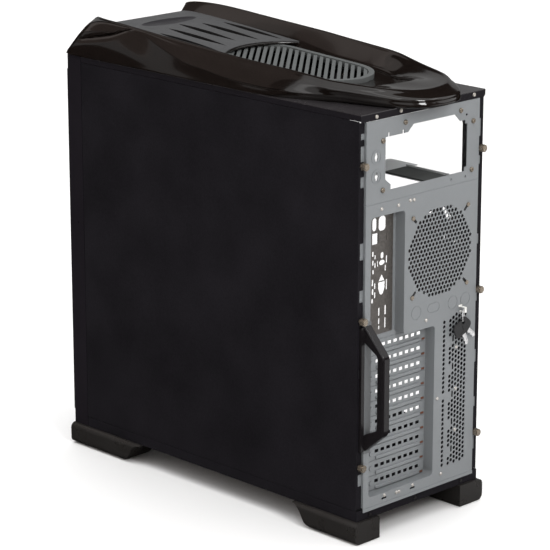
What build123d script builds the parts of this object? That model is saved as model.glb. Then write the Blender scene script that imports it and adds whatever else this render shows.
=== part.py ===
from build123d import *
import math
import os

os.makedirs("parts", exist_ok=True)

# ---------------------------------------------------------------------------
# Desktop computer tower, empty steel case with plastic front, top and feet.
# Millimetres. +Z up, floor at z = 0, the front faces -Y, the rear faces +Y,
# +X is the side behind the motherboard tray.
# ---------------------------------------------------------------------------

# ---- driving dimensions ----
W2 = 116.0            # half width over the side panels
YR = 269.0            # outer face of the rear panels
YF = -289.0           # front edge of the bezel
Y_SEAM = -260.0       # back of the bezel, front of the side panels
T = 1.0               # sheet steel
Z_BASE = 30.0         # underside of the base
Z_RAIL = 44.0         # top of the base rail
Z_PT = 554.5          # top edge of the side panels
Z_TC = 563.0          # top face of the steel top cover
Z_SPLIT = 446.0       # seam between the two rear panels
XP = 105.5            # half width of the rear panels
FL_Y = 264.0          # side flange of the rear panels
PF_Y = 265.3          # rear flange of the side panels

PITCH = 20.32         # expansion slot pitch
SLOTS = 10
ROW0 = 70.6           # lowest row of perforations in the slot covers
REC_Y = 253.0         # floor of the recess for the slots and ports
ROWS = [ROW0 + PITCH * i for i in range(SLOTS)]

FAN = 120.0           # fan frame
FAN_H = 105.0         # fan screw spacing
FAN_D = 25.0
RFX, RFZ = -34.0, 362.6   # rear fan centre
TFY = 25.0            # top fan centre
FFZ = 135.0           # front fan centre

BD_Y = [240.0, 240.0 - 124.46, 240.0 - 227.33]      # board screw columns
BD_Z = [418.0, 418.0 - 157.48, 418.0 - 281.94]      # board screw rows
TRAY_X = 93.5         # board side of the motherboard tray
STAND = 6.5           # stand-off height

FOOT_X0, FOOT_X1 = 78.0, 123.0
FOOT_Z = 1.0          # foot underside, the pads reach the floor

LID_Z0, LID_Y0 = 603.6, -265.0       # front edge of the sliding lid
LID_SLOPE = math.degrees(math.atan(12.0 / 235.0))
LID_T = 3.0
LID_W = 72.0

DOOR_HX, DOOR_HY = -104.0, -298.8    # door hinge axis
PIN_R = 2.5
RUN = 0.05                            # running clearance on radius
LOCK_X, LOCK_Z = 97.0, 400.0
BTN_X, PWR_Z, RST_Z = 95.0, 505.0, 478.0

HY = PF_Y + T                         # seat of the pull handle
RING_X, RING_Y, RING_Z = -75.0, 275.0, 276.6   # where the ring hangs in its tie

THUMB_R = [498.0, 298.0, 103.0]
THUMB_L = [486.0, 296.0, 98.0]


def blk(x0, x1, y0, y1, z0, z1, mode=Mode.ADD):
    """A block between two corners, inside the part being built."""
    with Locations(((x0 + x1) / 2, (y0 + y1) / 2, (z0 + z1) / 2)):
        Box(abs(x1 - x0), abs(y1 - y0), abs(z1 - z0), mode=mode)


def rod(axis, a, b, r, s0, s1, mode=Mode.ADD):
    """A cylinder along Y at (x=a, z=b), along Z at (x=a, y=b) or along X at
    (y=a, z=b), from s0 to s1, inside the part being built."""
    m = (s0 + s1) / 2
    if axis == "Y":
        loc, rot = (a, m, b), (90, 0, 0)
    elif axis == "X":
        loc, rot = (m, a, b), (0, 90, 0)
    else:
        loc, rot = (a, b, m), (0, 0, 0)
    with Locations(loc):
        Cylinder(r, abs(s1 - s0), rotation=rot, mode=mode)


def rear_plane(y):
    """Sketch plane facing +Y seen from inside: local x = X, local y = Z,
    extrusions go towards -Y."""
    return Plane.XZ.offset(-y)


RECESS = [(-26.5, 58.5), (95.5, 58.5), (95.5, 429.0), (33.2, 429.0),
          (33.2, 264.0), (-26.5, 264.0)]

# ---------------------------------------------------------------------------
# Base tray: steel floor with side rails and end lips
# ---------------------------------------------------------------------------
foot_screws_xy = [(s * 100.5, y) for s in (-1, 1) for y in (-246.0, -191.0, 205.0, 258.0)]

with BuildPart() as base_tray:
    blk(-115, 115, Y_SEAM + 0.5, 268, Z_BASE, Z_BASE + T)
    blk(115, W2, Y_SEAM + 0.5, 268, Z_BASE, Z_RAIL)
    blk(-W2, -115, Y_SEAM + 0.5, 268, Z_BASE, Z_RAIL)
    blk(-115, 115, 267, 268, Z_BASE + T, Z_RAIL)
    blk(-115, 115, Y_SEAM + 0.5, Y_SEAM + 1.5, Z_BASE + T, Z_RAIL)
    with BuildSketch(Plane.XY.offset(Z_BASE)):
        with Locations(*foot_screws_xy):
            Circle(2.2)
    extrude(amount=T, mode=Mode.SUBTRACT)
base_tray.part.label = "base_tray"
export_step(base_tray.part, "parts/base_tray.step")

# ---------------------------------------------------------------------------
# Rear panels
# ---------------------------------------------------------------------------
PSU_OPEN = [(71, 475), (71, 529), (66.2, 529), (66.2, 534), (63.4, 534), (63.4, 529),
            (40, 529), (40, 533.5), (37.2, 533.5), (37.2, 529), (30, 529),
            (20, 538), (-58, 538), (-68, 528), (-78, 528), (-78, 523), (-82, 523),
            (-82, 466), (-77.5, 466), (-77.5, 460.5), (61, 460.5), (61, 467)]
PSU_SCREWS = [(35.5, 542.7), (-68.5, 541.7), (-93, 524.5), (-91.5, 460.7), (75.8, 462), (76, 525)]

with BuildPart() as rear_panel_upper:
    with BuildSketch(rear_plane(YR)):
        with Locations((0, (Z_SPLIT + 0.3 + 552.7) / 2)):
            Rectangle(2 * XP, 552.7 - Z_SPLIT - 0.3)
        with BuildLine():
            Polyline(*PSU_OPEN, close=True)
        make_face(mode=Mode.SUBTRACT)
        with Locations(*PSU_SCREWS):
            Circle(1.9, mode=Mode.SUBTRACT)
        with Locations((87.5, 506), (87, 481)):
            SlotOverall(11, 3.2, rotation=90, mode=Mode.SUBTRACT)
            Circle(2.9, mode=Mode.SUBTRACT)
        with Locations((-80.5, 534.5), (-79.6, 453.5), (-52, 454)):
            Circle(1.7, mode=Mode.SUBTRACT)
    extrude(amount=T)
    # raised ring around each keyhole
    with BuildSketch(rear_plane(YR + 0.5)):
        with Locations((87.5, 506), (87, 481)):
            Circle(9.0)
            Circle(7.4, mode=Mode.SUBTRACT)
    extrude(amount=0.5)
    # stepped side flanges that carry the side panels
    for s in (-1, 1):
        blk(s * (XP - T), s * XP, FL_Y, 268, Z_SPLIT + 0.3, 552.5)
        blk(s * XP, s * 113.6, FL_Y, FL_Y + T, Z_SPLIT + 0.3, 552.5)
        rod("Y", s * 110.5, THUMB_R[0] if s > 0 else THUMB_L[0], 2.4, FL_Y - 1, FL_Y + 2, mode=Mode.SUBTRACT)
rear_panel_upper.part.label = "rear_panel_upper"
export_step(rear_panel_upper.part, "parts/rear_panel_upper.step")

# hole fields of the lower panel
fan_holes = []
for j in range(-11, 12):
    for i in range(-10, 11):
        px = 6.45 * i + (3.225 if j % 2 else 0.0)
        pz = 5.55 * j
        if math.hypot(px, pz) <= 59.4:
            fan_holes.append((RFX + px, RFZ + pz))
vent_holes = [(-45.0, 67.25 + 6.35 * k) for k in range(32) if k != 15]
vent_slots = []
VENT_X = [-57.0 - 5.8 * c for c in range(6)]
for c, vx in enumerate(VENT_X):
    for k in range(33):
        vz = 67.0 + 6.35 * k + (3.175 if c % 2 else 0.0)
        if vz > 270.5:
            continue
        if c in (1,) and (k % 6) in (2, 3):
            if k % 6 == 2 and k < 30:
                vent_slots.append((vx, vz + 3.175))
            continue
        if c == 0 and (k % 6) in (2, 3):
            continue
        if c == 2 and k in (7, 16, 25):
            continue
        vent_holes.append((vx, vz))
vent_screws = [(VENT_X[2], 67.0 + 6.35 * k) for k in (7, 16, 25)]

with BuildPart() as rear_panel_lower:
    with BuildSketch(rear_plane(YR)):
        with Locations((0, (40.5 + Z_SPLIT) / 2)):
            Rectangle(2 * XP, Z_SPLIT - 40.5)
        with Locations(*fan_holes):
            Circle(2.45, mode=Mode.SUBTRACT)
        with Locations(*vent_holes):
            Circle(2.5, mode=Mode.SUBTRACT)
        with Locations(*vent_slots):
            SlotOverall(9.4, 3.2, rotation=90, mode=Mode.SUBTRACT)
        for sx in (-1, 1):
            for sz in (-1, 1):
                with Locations(Location((RFX + sx * 50.0, RFZ + sz * 50.0, 0), (0, 0, 45 * sx * sz))):
                    SlotOverall(13.5, 4.0, mode=Mode.SUBTRACT)
                with Locations((RFX + sx * 52.5, RFZ + sz * 52.5)):
                    Circle(2.4, mode=Mode.SUBTRACT)
        with Locations((66, 50.8), (12, 50.6)):
            SlotOverall(10, 2.6, mode=Mode.SUBTRACT)
    extrude(amount=T)
    with BuildSketch(rear_plane(YR)) as recess_cut:
        with BuildLine():
            Polyline(*RECESS, close=True)
        make_face()
        fillet(recess_cut.vertices(), 5)
    extrude(amount=T, mode=Mode.SUBTRACT)
    # shallow grooves around the knock-outs
    with BuildSketch(rear_plane(YR)):
        with Locations((10, 288.5), (-60, 288), (-84.5, 288)):
            Circle(9.2)
            Circle(8.4, mode=Mode.SUBTRACT)
        with Locations((-23, 289)):
            SlotOverall(23, 13)
            SlotOverall(21.4, 11.4, mode=Mode.SUBTRACT)
    extrude(amount=0.4, mode=Mode.SUBTRACT)
    # hem along the bottom edge
    blk(-XP, XP, YR, YR + 0.6, 40.5, 45.0)
    for s in (-1, 1):
        blk(s * (XP - T), s * XP, FL_Y, 268, 46.5, Z_SPLIT)
        blk(s * XP, s * 113.6, FL_Y, FL_Y + T, 46.5, Z_SPLIT)
        for z in (THUMB_R[1:] if s > 0 else THUMB_L[1:]):
            rod("Y", s * 110.5, z, 2.4, FL_Y - 1, FL_Y + 2, mode=Mode.SUBTRACT)
rear_panel_lower.part.label = "rear_panel_lower"
export_step(rear_panel_lower.part, "parts/rear_panel_lower.step")

# domed rivets on the rear face
RIVETS = [(77, 438), (46, 437.5), (24.2, 440), (17.2, 439.6), (-9, 274.6), (-33, 162.7), (-43, 56),
          (66, 54.6), (12, 54.4), (43, 52.5), (38, 52.3)] + vent_screws
with BuildPart() as chassis_rivets:
    with BuildSketch(rear_plane(YR)):
        with Locations(*RIVETS):
            Circle(2.5)
    extrude(amount=-1.3)
    fillet(chassis_rivets.faces().filter_by(Axis.Y).group_by(Axis.Y)[-1].edges(), 1.1)
chassis_rivets.part.label = "chassis_rivets"
export_step(chassis_rivets.part, "parts/chassis_rivets.step")

# ---------------------------------------------------------------------------
# Recess frame for the expansion slots and the port plate
# ---------------------------------------------------------------------------
with BuildPart() as slot_frame:
    with BuildSketch(rear_plane(268)) as sf_out:
        with BuildLine():
            Polyline(*RECESS, close=True)
        make_face()
        fillet(sf_out.vertices(), 5)
        offset(amount=T)
    extrude(amount=268 - (REC_Y - T))
    with BuildSketch(rear_plane(268)) as sf_in:
        with BuildLine():
            Polyline(*RECESS, close=True)
        make_face()
        fillet(sf_in.vertices(), 5)
    extrude(amount=268 - REC_Y, mode=Mode.SUBTRACT)
    with BuildSketch(rear_plane(REC_Y)):
        with Locations(*[((70 - 24.5) / 2, r - 3.2) for r in ROWS]):
            Rectangle(94.5, 14.6)
        with Locations((60.8, 347.9)):
            Rectangle(42.4, 156.6)
    extrude(amount=T, mode=Mode.SUBTRACT)
slot_frame.part.label = "slot_frame"
export_step(slot_frame.part, "parts/slot_frame.step")

with BuildPart() as slot_covers:
    with BuildSketch(rear_plane(REC_Y + 0.8)):
        with Locations(*[(34.0, r - 1.85) for r in ROWS]):
            Rectangle(115.0, 18.9)
        with Locations(*[(-12 + 11.0 * k, r) for r in ROWS for k in range(8)]):
            Rectangle(7.0, 4.6, mode=Mode.SUBTRACT)
        with Locations(*[(-20.6, r - 9.2) for r in ROWS]):
            Rectangle(4.4, 2.4, mode=Mode.SUBTRACT)
        with Locations(*[(76.5, r - 1.5) for r in ROWS]):
            Circle(1.8, mode=Mode.SUBTRACT)
    extrude(amount=0.8)
    with BuildSketch(rear_plane(REC_Y + 2.8)):
        with Locations(*[(27, r - 8.6) for r in ROWS]):
            SlotOverall(82, 4.8)
    extrude(amount=2.0)
    fillet(slot_covers.faces().filter_by(Axis.Y).group_by(Axis.Y)[-1].edges(), 1.0)
slot_covers.part.label = "slot_covers"
export_step(slot_covers.part, "parts/slot_covers.step")

with BuildPart() as slot_cover_screws:
    with BuildSketch(rear_plane(REC_Y + 0.8)):
        with Locations(*[(76.5, r - 1.5) for r in ROWS]):
            Circle(3.0)
    extrude(amount=-1.6)
    fillet(slot_cover_screws.faces().filter_by(Axis.Y).group_by(Axis.Y)[-1].edges(), 0.7)
    with BuildSketch(rear_plane(REC_Y + 0.8)):
        with Locations(*[(76.5, r - 1.5) for r in ROWS]):
            Circle(1.5)
    extrude(amount=0.75)
slot_cover_screws.part.label = "slot_cover_screws"
export_step(slot_cover_screws.part, "parts/slot_cover_screws.step")

# port plate with punched openings
with BuildPart() as io_shield:
    with BuildSketch(rear_plane(REC_Y + 0.6)):
        with Locations((60.83, 347.88)):
            Rectangle(44.45, 158.75)
        with Locations((73.2, 414.1)):
            SlotOverall(16.8, 7.7, rotation=90, mode=Mode.SUBTRACT)
        with Locations((59.0, 413.6)):
            RectangleRounded(13.0, 19.0, 5.0, mode=Mode.SUBTRACT)
        with Locations((72.2, 395.4)):
            Rectangle(9.6, 14.2, mode=Mode.SUBTRACT)
        # narrow punched slivers in two columns and at the foot
        for px, pz, w, h in ((75.4, 376, 3.0, 7.0), (71.2, 371.5, 2.4, 6.0), (75.2, 364.5, 2.8, 7.0), (71.2, 360.5, 2.4, 7.0),
                             (74.8, 352.5, 2.8, 6.0), (75.6, 338.5, 2.8, 9.0), (71.2, 333.5, 2.4, 8.0), (75.2, 326.5, 3.2, 8.0),
                             (71.2, 321.5, 2.4, 8.0), (75.8, 314.5, 3.2, 6.0), (50.2, 365.3, 2.4, 10.0), (52.2, 354.0, 2.2, 8.0),
                             (49.8, 331.8, 2.2, 14.0), (63.2, 298.0, 2.6, 11.0), (63.2, 285.5, 2.4, 8.0), (63.0, 277.0, 2.4, 5.0),
                             (51.5, 298.3, 2.8, 13.0), (51.7, 281.5, 2.4, 14.0), (66.4, 362.0, 1.8, 8.0)):
            with Locations((px, pz)):
                SlotOverall(h, w, rotation=90, mode=Mode.SUBTRACT)
        with Locations((58.4, 371.6)):
            SlotOverall(8.4, 5.6, rotation=90, mode=Mode.SUBTRACT)
        with Locations((58.6, 362.3)):
            Ellipse(5.2, 3.4, mode=Mode.SUBTRACT)
        with BuildLine():
            Polyline((59, 347.0), (64.6, 338.1), (53.4, 338.1), close=True)
        make_face(mode=Mode.SUBTRACT)
        with BuildLine():
            Polyline((52.8, 336.9), (65.2, 336.9), (65.0, 328.5), (62.4, 321.5), (59.0, 319.6), (55.6, 321.5), (53.0, 328.5), close=True)
        make_face(mode=Mode.SUBTRACT)
    extrude(amount=0.6)
    # raised outline around the middle group and a blind boss
    with BuildSketch(rear_plane(REC_Y + 1.0)):
        with Locations((58.1, 396)):
            Rectangle(15.8, 13.6)
            Rectangle(14.6, 12.4, mode=Mode.SUBTRACT)
        with Locations((59.0, 353.2)):
            Circle(3.6)
            Circle(2.6, mode=Mode.SUBTRACT)
    extrude(amount=0.4)
io_shield.part.label = "io_shield"
export_step(io_shield.part, "parts/io_shield.step")

# ---------------------------------------------------------------------------
# Power supply bracket, shelf and pad
# ---------------------------------------------------------------------------
with BuildPart() as psu_bracket:
    with BuildSketch(rear_plane(268)):
        with Locations((-8.5, 500)):
            Rectangle(191, 100)
        with Locations((-5.5, 499.5)):
            Rectangle(157, 81, mode=Mode.SUBTRACT)
        with Locations(*PSU_SCREWS):
            Circle(1.9, mode=Mode.SUBTRACT)
        with Locations((87, 506), (87, 481)):
            Circle(6, mode=Mode.SUBTRACT)
    extrude(amount=T)
psu_bracket.part.label = "psu_bracket"
export_step(psu_bracket.part, "parts/psu_bracket.step")

with BuildPart() as psu_bracket_screws:
    with BuildSketch(rear_plane(YR)):
        with Locations(*PSU_SCREWS):
            Circle(3.4)
    extrude(amount=-2.2)
    fillet(psu_bracket_screws.faces().filter_by(Axis.Y).group_by(Axis.Y)[-1].edges(), 1.2)
    with BuildSketch(rear_plane(YR)):
        with Locations(*PSU_SCREWS):
            Circle(1.6)
    extrude(amount=5.0)
    for sx, sz in PSU_SCREWS:
        blk(sx - 1.7, sx + 1.7, YR + 1.4, YR + 3.0, sz - 0.4, sz + 0.4, mode=Mode.SUBTRACT)
        blk(sx - 0.4, sx + 0.4, YR + 1.4, YR + 3.0, sz - 1.7, sz + 1.7, mode=Mode.SUBTRACT)
psu_bracket_screws.part.label = "psu_bracket_screws"
export_step(psu_bracket_screws.part, "parts/psu_bracket_screws.step")

with BuildPart() as psu_shelf:
    blk(-84, TRAY_X, 134, 183, 452.5, 453.5)
    blk(-62, -19, 183, 266.5, 452.5, 453.5)
    blk(-62, -61, 183, 258, 453.5, 458.0)
    blk(-84, TRAY_X, 134, 135, 444.5, 452.5)
    blk(-62, -19, 265.5, 266.5, 449.0, 452.5)
psu_shelf.part.label = "psu_shelf"
export_step(psu_shelf.part, "parts/psu_shelf.step")

with BuildPart() as psu_pad:
    blk(-60.5, -19.2, 183.5, 257.5, 453.5, 455.5)
    fillet(psu_pad.edges().filter_by(Axis.Z), 3)
psu_pad.part.label = "psu_pad"
export_step(psu_pad.part, "parts/psu_pad.step")

# ---------------------------------------------------------------------------
# Motherboard tray and stand-offs
# ---------------------------------------------------------------------------
with BuildPart() as motherboard_tray:
    blk(TRAY_X, TRAY_X + T, -95, 251.5, 58, 444)
    blk(TRAY_X + T, 106, -95, -94, 58, 444)
    with BuildSketch(Plane.YZ.offset(TRAY_X)):
        with Locations((-70, 120), (-70, 250), (-70, 380)):
            SlotOverall(70, 22, rotation=90)
        with Locations((150, 360)):
            RectangleRounded(110, 90, 8)
    extrude(amount=T, mode=Mode.SUBTRACT)
motherboard_tray.part.label = "motherboard_tray"
export_step(motherboard_tray.part, "parts/motherboard_tray.step")

with BuildPart() as motherboard_standoffs:
    with BuildSketch(Plane.YZ.offset(TRAY_X - STAND)):
        with Locations(*[(y, z) for y in BD_Y for z in BD_Z]):
            RegularPolygon(2.9, 6)
            Circle(1.5, mode=Mode.SUBTRACT)
    extrude(amount=STAND)
motherboard_standoffs.part.label = "motherboard_standoffs"
export_step(motherboard_standoffs.part, "parts/motherboard_standoffs.step")

# ---------------------------------------------------------------------------
# Front frame and drive cages
# ---------------------------------------------------------------------------
with BuildPart() as front_frame:
    blk(-106, 106, Y_SEAM + 1.5, Y_SEAM + 2.5, 31, 561)
    with BuildSketch(rear_plane(Y_SEAM + 2.5)):
        with Locations((0, 429)):
            Rectangle(148, 214)
        with Locations((0, FFZ)):
            Circle(58.5)
        with Locations(*[(sx * FAN_H / 2, FFZ + sz * FAN_H / 2) for sx in (-1, 1) for sz in (-1, 1)]):
            Circle(2.2)
    extrude(amount=T, mode=Mode.SUBTRACT)
    for s in (-1, 1):
        blk(s * 105, s * 106, Y_SEAM + 2.5, Y_SEAM + 17, 31, 561)
front_frame.part.label = "front_frame"
export_step(front_frame.part, "parts/front_frame.step")

CAGE_HOLES = [(-235.0 + dy, 342.0 + 41.4 * k) for k in range(5) for dy in (0.0, 79.24)]
with BuildPart() as drive_cage_left:
    blk(-75.0, -74.0, Y_SEAM + 2.5, -80, 320, 538)
    with BuildSketch(Plane.YZ.offset(-75)):
        with Locations(*CAGE_HOLES):
            Circle(1.75)
    extrude(amount=T, mode=Mode.SUBTRACT)
    blk(-88, -75, -81, -80, 320, 538)
drive_cage_left.part.label = "drive_cage_left"
export_step(drive_cage_left.part, "parts/drive_cage_left.step")

with BuildPart() as drive_cage_right:
    blk(74.0, 75.0, Y_SEAM + 2.5, -96, 320, 538)
    with BuildSketch(Plane.YZ.offset(74)):
        with Locations(*CAGE_HOLES):
            Circle(1.75)
    extrude(amount=T, mode=Mode.SUBTRACT)
    blk(75, 88, -97, -96, 320, 538)
drive_cage_right.part.label = "drive_cage_right"
export_step(drive_cage_right.part, "parts/drive_cage_right.step")

with BuildPart() as hard_drive_cage:
    for s in (-1, 1):
        blk(s * 52.0, s * 53.0, -218, -80, 31, 252)
        blk(s * 53.0, s * 66.0, -218, -80, 31, 32)
    blk(-53, 53, -218, -80, 252, 253)
    for s in (-1, 1):
        for k in range(4):
            blk(s * 49.0, s * 52.0, -216, -82, 72 + 44 * k, 73 + 44 * k)
hard_drive_cage.part.label = "hard_drive_cage"
export_step(hard_drive_cage.part, "parts/hard_drive_cage.step")

# ---------------------------------------------------------------------------
# Top cover
# ---------------------------------------------------------------------------
BAND_SCREWS = [(88, 557.6), (44, 558.6), (-93.5, 558.6)]
with BuildPart() as top_cover:
    blk(-115, 115, Y_SEAM + 0.5, YR, Z_TC - T, Z_TC)
    for s in (-1, 1):
        blk(s * 115, s * W2, Y_SEAM + 0.5, YR, 555.0, Z_TC)
    blk(-115, 115, YR - T, YR, 554.9, Z_TC - T)
    blk(-114.6, 114.6, YR - T, YR, 553.2, 554.9)
    with BuildSketch(Plane.XY.offset(Z_TC - T)):
        with Locations((0, TFY)):
            Circle(57)
        with Locations(*[(sx * FAN_H / 2, TFY + sy * FAN_H / 2) for sx in (-1, 1) for sy in (-1, 1)]):
            Circle(2.2)
        with Locations((0, -190)):
            RectangleRounded(96, 40, 6)
    extrude(amount=T, mode=Mode.SUBTRACT)
    with BuildSketch(rear_plane(YR)):
        with Locations(*BAND_SCREWS):
            Circle(1.6)
    extrude(amount=T, mode=Mode.SUBTRACT)
top_cover.part.label = "top_cover"
export_step(top_cover.part, "parts/top_cover.step")

LIP_SCREWS = [(92, 35.0), (6, 35.2), (-84, 35.6)]
with BuildPart() as cover_screws:
    with BuildSketch(rear_plane(YR)):
        with Locations(*BAND_SCREWS):
            Circle(2.5)
    extrude(amount=-1.5)
    with BuildSketch(rear_plane(268)):
        with Locations(*LIP_SCREWS):
            Circle(2.3)
    extrude(amount=-1.3)
    fillet(cover_screws.faces().filter_by(Axis.Y).group_by(Axis.Y)[-1].edges(), 0.8)
    with BuildSketch(rear_plane(YR)):
        with Locations(*BAND_SCREWS):
            Circle(1.4)
    extrude(amount=3.0)
cover_screws.part.label = "cover_screws"
export_step(cover_screws.part, "parts/cover_screws.step")

# ---------------------------------------------------------------------------
# Fans: frame with four struts and motor seat, turning rotor
# ---------------------------------------------------------------------------
def fan_frame_shape(plane):
    """Square frame, round duct, struts and motor seat, inside the part being
    built. The plane lies on the open face and its normal points to the struts."""
    with BuildSketch(plane) as duct:
        RectangleRounded(FAN, FAN, 7)
        Circle(58.6, mode=Mode.SUBTRACT)
        with GridLocations(FAN_H, FAN_H, 2, 2):
            Circle(2.15, mode=Mode.SUBTRACT)
    extrude(duct.sketch, amount=FAN_D)
    with BuildSketch(plane.offset(FAN_D - 3)) as seat:
        Circle(20.5)
        with PolarLocations(40, 4, start_angle=25):
            Rectangle(42, 4.5)
    extrude(seat.sketch, amount=3)


def fan_rotor_shape(plane, sign):
    """Hub and seven pitched blades, inside the part being built."""
    with BuildSketch(plane.offset(2.2)) as hub:
        Circle(19.0)
    extrude(hub.sketch, amount=19.0)
    for k in range(7):
        with Locations(plane.location * Location((0, 0, 11.2), (0, 0, 360 / 7 * k))
                       * Location((37.0, 0, 0), (sign * 47, 0, 0))):
            Box(38.5, 26.4, 1.8)
    with BuildSketch(plane) as tip:
        Circle(80)
        Circle(56.6, mode=Mode.SUBTRACT)
    extrude(tip.sketch, amount=25, mode=Mode.SUBTRACT)


P_REAR = Plane(origin=(RFX, 268, RFZ), x_dir=(1, 0, 0), z_dir=(0, -1, 0))
P_TOP = Plane(origin=(0, TFY, Z_TC - T), x_dir=(1, 0, 0), z_dir=(0, 0, -1))
P_FRONT = Plane(origin=(0, Y_SEAM + 2.5, FFZ), x_dir=(1, 0, 0), z_dir=(0, 1, 0))

with BuildPart() as rear_fan_frame:
    fan_frame_shape(P_REAR)
rear_fan_frame.part.label = "rear_fan_frame"
export_step(rear_fan_frame.part, "parts/rear_fan_frame.step")

with BuildPart() as rear_fan_rotor:
    fan_rotor_shape(P_REAR, 1)
rear_fan_rotor.part.label = "rear_fan_rotor"
export_step(rear_fan_rotor.part, "parts/rear_fan_rotor.step")

with BuildPart() as top_fan_frame:
    fan_frame_shape(P_TOP)
top_fan_frame.part.label = "top_fan_frame"
export_step(top_fan_frame.part, "parts/top_fan_frame.step")

with BuildPart() as top_fan_rotor:
    fan_rotor_shape(P_TOP, 1)
top_fan_rotor.part.label = "top_fan_rotor"
export_step(top_fan_rotor.part, "parts/top_fan_rotor.step")

with BuildPart() as front_fan_frame:
    fan_frame_shape(P_FRONT)
front_fan_frame.part.label = "front_fan_frame"
export_step(front_fan_frame.part, "parts/front_fan_frame.step")

with BuildPart() as front_fan_rotor:
    fan_rotor_shape(P_FRONT, 1)
front_fan_rotor.part.label = "front_fan_rotor"
export_step(front_fan_rotor.part, "parts/front_fan_rotor.step")

with BuildPart() as fan_screws:
    for sx in (-1, 1):
        for sz in (-1, 1):
            h = FAN_H / 2
            rod("Y", RFX + sx * h, RFZ + sz * h, 2.9, YR, YR + 1.3)
            rod("Y", RFX + sx * h, RFZ + sz * h, 1.7, 258, YR)
            rod("Z", sx * h, TFY + sz * h, 3.2, Z_TC, Z_TC + 1.6)
            rod("Z", sx * h, TFY + sz * h, 1.7, Z_TC - 11, Z_TC)
            rod("Y", sx * h, FFZ + sz * h, 3.2, Y_SEAM - 0.1, Y_SEAM + 1.5)
            rod("Y", sx * h, FFZ + sz * h, 1.7, Y_SEAM + 1.5, Y_SEAM + 12)
fan_screws.part.label = "fan_screws"
export_step(fan_screws.part, "parts/fan_screws.step")

# ---------------------------------------------------------------------------
# Feet, pads and screws
# ---------------------------------------------------------------------------
def foot_section(x0):
    """Cross-section of a foot, round on its outer side, cut across the part
    being built."""
    xo = x0 + FOOT_X1 - FOOT_X0 if x0 > 0 else x0
    with BuildSketch(Plane.XZ.offset(-300)) as across:
        s = 1 if x0 > 0 else -1
        xi = x0 if x0 > 0 else x0 + FOOT_X1 - FOOT_X0
        with BuildLine():
            Polyline((xo - s * 7, FOOT_Z), (xi, FOOT_Z), (xi, Z_BASE), (xo - s * 7, Z_BASE))
            ThreePointArc((xo - s * 7, Z_BASE), (xo - s * 2.4, Z_BASE - 2.0), (xo, Z_BASE - 7))
            Line((xo, Z_BASE - 7), (xo, FOOT_Z + 7))
            ThreePointArc((xo, FOOT_Z + 7), (xo - s * 2.4, FOOT_Z + 2.0), (xo - s * 7, FOOT_Z))
        make_face()
    extrude(across.sketch, amount=620, mode=Mode.INTERSECT)


def rear_foot_shape(x0):
    with BuildSketch(Plane.YZ.offset(x0)) as side:
        with BuildLine():
            Bezier((155, Z_BASE - 1.5), (178, Z_BASE - 3), (171, FOOT_Z + 2), (192, FOOT_Z))
            Polyline((192, FOOT_Z), (273, FOOT_Z), (273, Z_BASE), (155, Z_BASE), (155, Z_BASE - 1.5))
        make_face()
    extrude(side.sketch, amount=FOOT_X1 - FOOT_X0)
    foot_section(x0)


def front_foot_shape(x0):
    with BuildSketch(Plane.YZ.offset(x0)) as side:
        with BuildLine():
            Polyline((-146, Z_BASE - 1.5), (-146, Z_BASE), (YF, Z_BASE), (YF, FOOT_Z), (-182, FOOT_Z))
            Bezier((-182, FOOT_Z), (-161, FOOT_Z + 2), (-168, Z_BASE - 3), (-146, Z_BASE - 1.5))
        make_face()
    extrude(side.sketch, amount=FOOT_X1 - FOOT_X0)
    foot_section(x0)


def foot_holes(x, ys, ypad):
    for y in ys:
        rod("Z", x, y, 2.2, 0, Z_BASE + 1, mode=Mode.SUBTRACT)
        rod("Z", x, y, 4.6, 0, 18, mode=Mode.SUBTRACT)
    rod("Z", x, ypad, 11.2, 0, 3.0, mode=Mode.SUBTRACT)


with BuildPart() as rear_right_foot:
    rear_foot_shape(FOOT_X0)
    foot_holes(100.5, (205.0, 258.0), 231.5)
rear_right_foot.part.label = "rear_right_foot"
export_step(rear_right_foot.part, "parts/rear_right_foot.step")

with BuildPart() as rear_left_foot:
    rear_foot_shape(-FOOT_X1)
    foot_holes(-100.5, (205.0, 258.0), 231.5)
rear_left_foot.part.label = "rear_left_foot"
export_step(rear_left_foot.part, "parts/rear_left_foot.step")

with BuildPart() as front_right_foot:
    front_foot_shape(FOOT_X0)
    foot_holes(100.5, (-246.0, -191.0), -216.0)
front_right_foot.part.label = "front_right_foot"
export_step(front_right_foot.part, "parts/front_right_foot.step")

with BuildPart() as front_left_foot:
    front_foot_shape(-FOOT_X1)
    foot_holes(-100.5, (-246.0, -191.0), -216.0)
front_left_foot.part.label = "front_left_foot"
export_step(front_left_foot.part, "parts/front_left_foot.step")

with BuildPart() as foot_pads:
    with BuildSketch(Plane.XY):
        with Locations(*[(s * 100.5, y) for s in (-1, 1) for y in (-216.0, 231.5)]):
            Circle(11.0)
    extrude(amount=3.0)
foot_pads.part.label = "foot_pads"
export_step(foot_pads.part, "parts/foot_pads.step")

with BuildPart() as foot_screws:
    for s in (-1, 1):
        for y in (-246.0, -191.0, 205.0, 258.0):
            rod("Z", s * 100.5, y, 4.0, 15.5, 18.0)
            rod("Z", s * 100.5, y, 1.8, 18.0, 34.0)
foot_screws.part.label = "foot_screws"
export_step(foot_screws.part, "parts/foot_screws.step")

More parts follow.
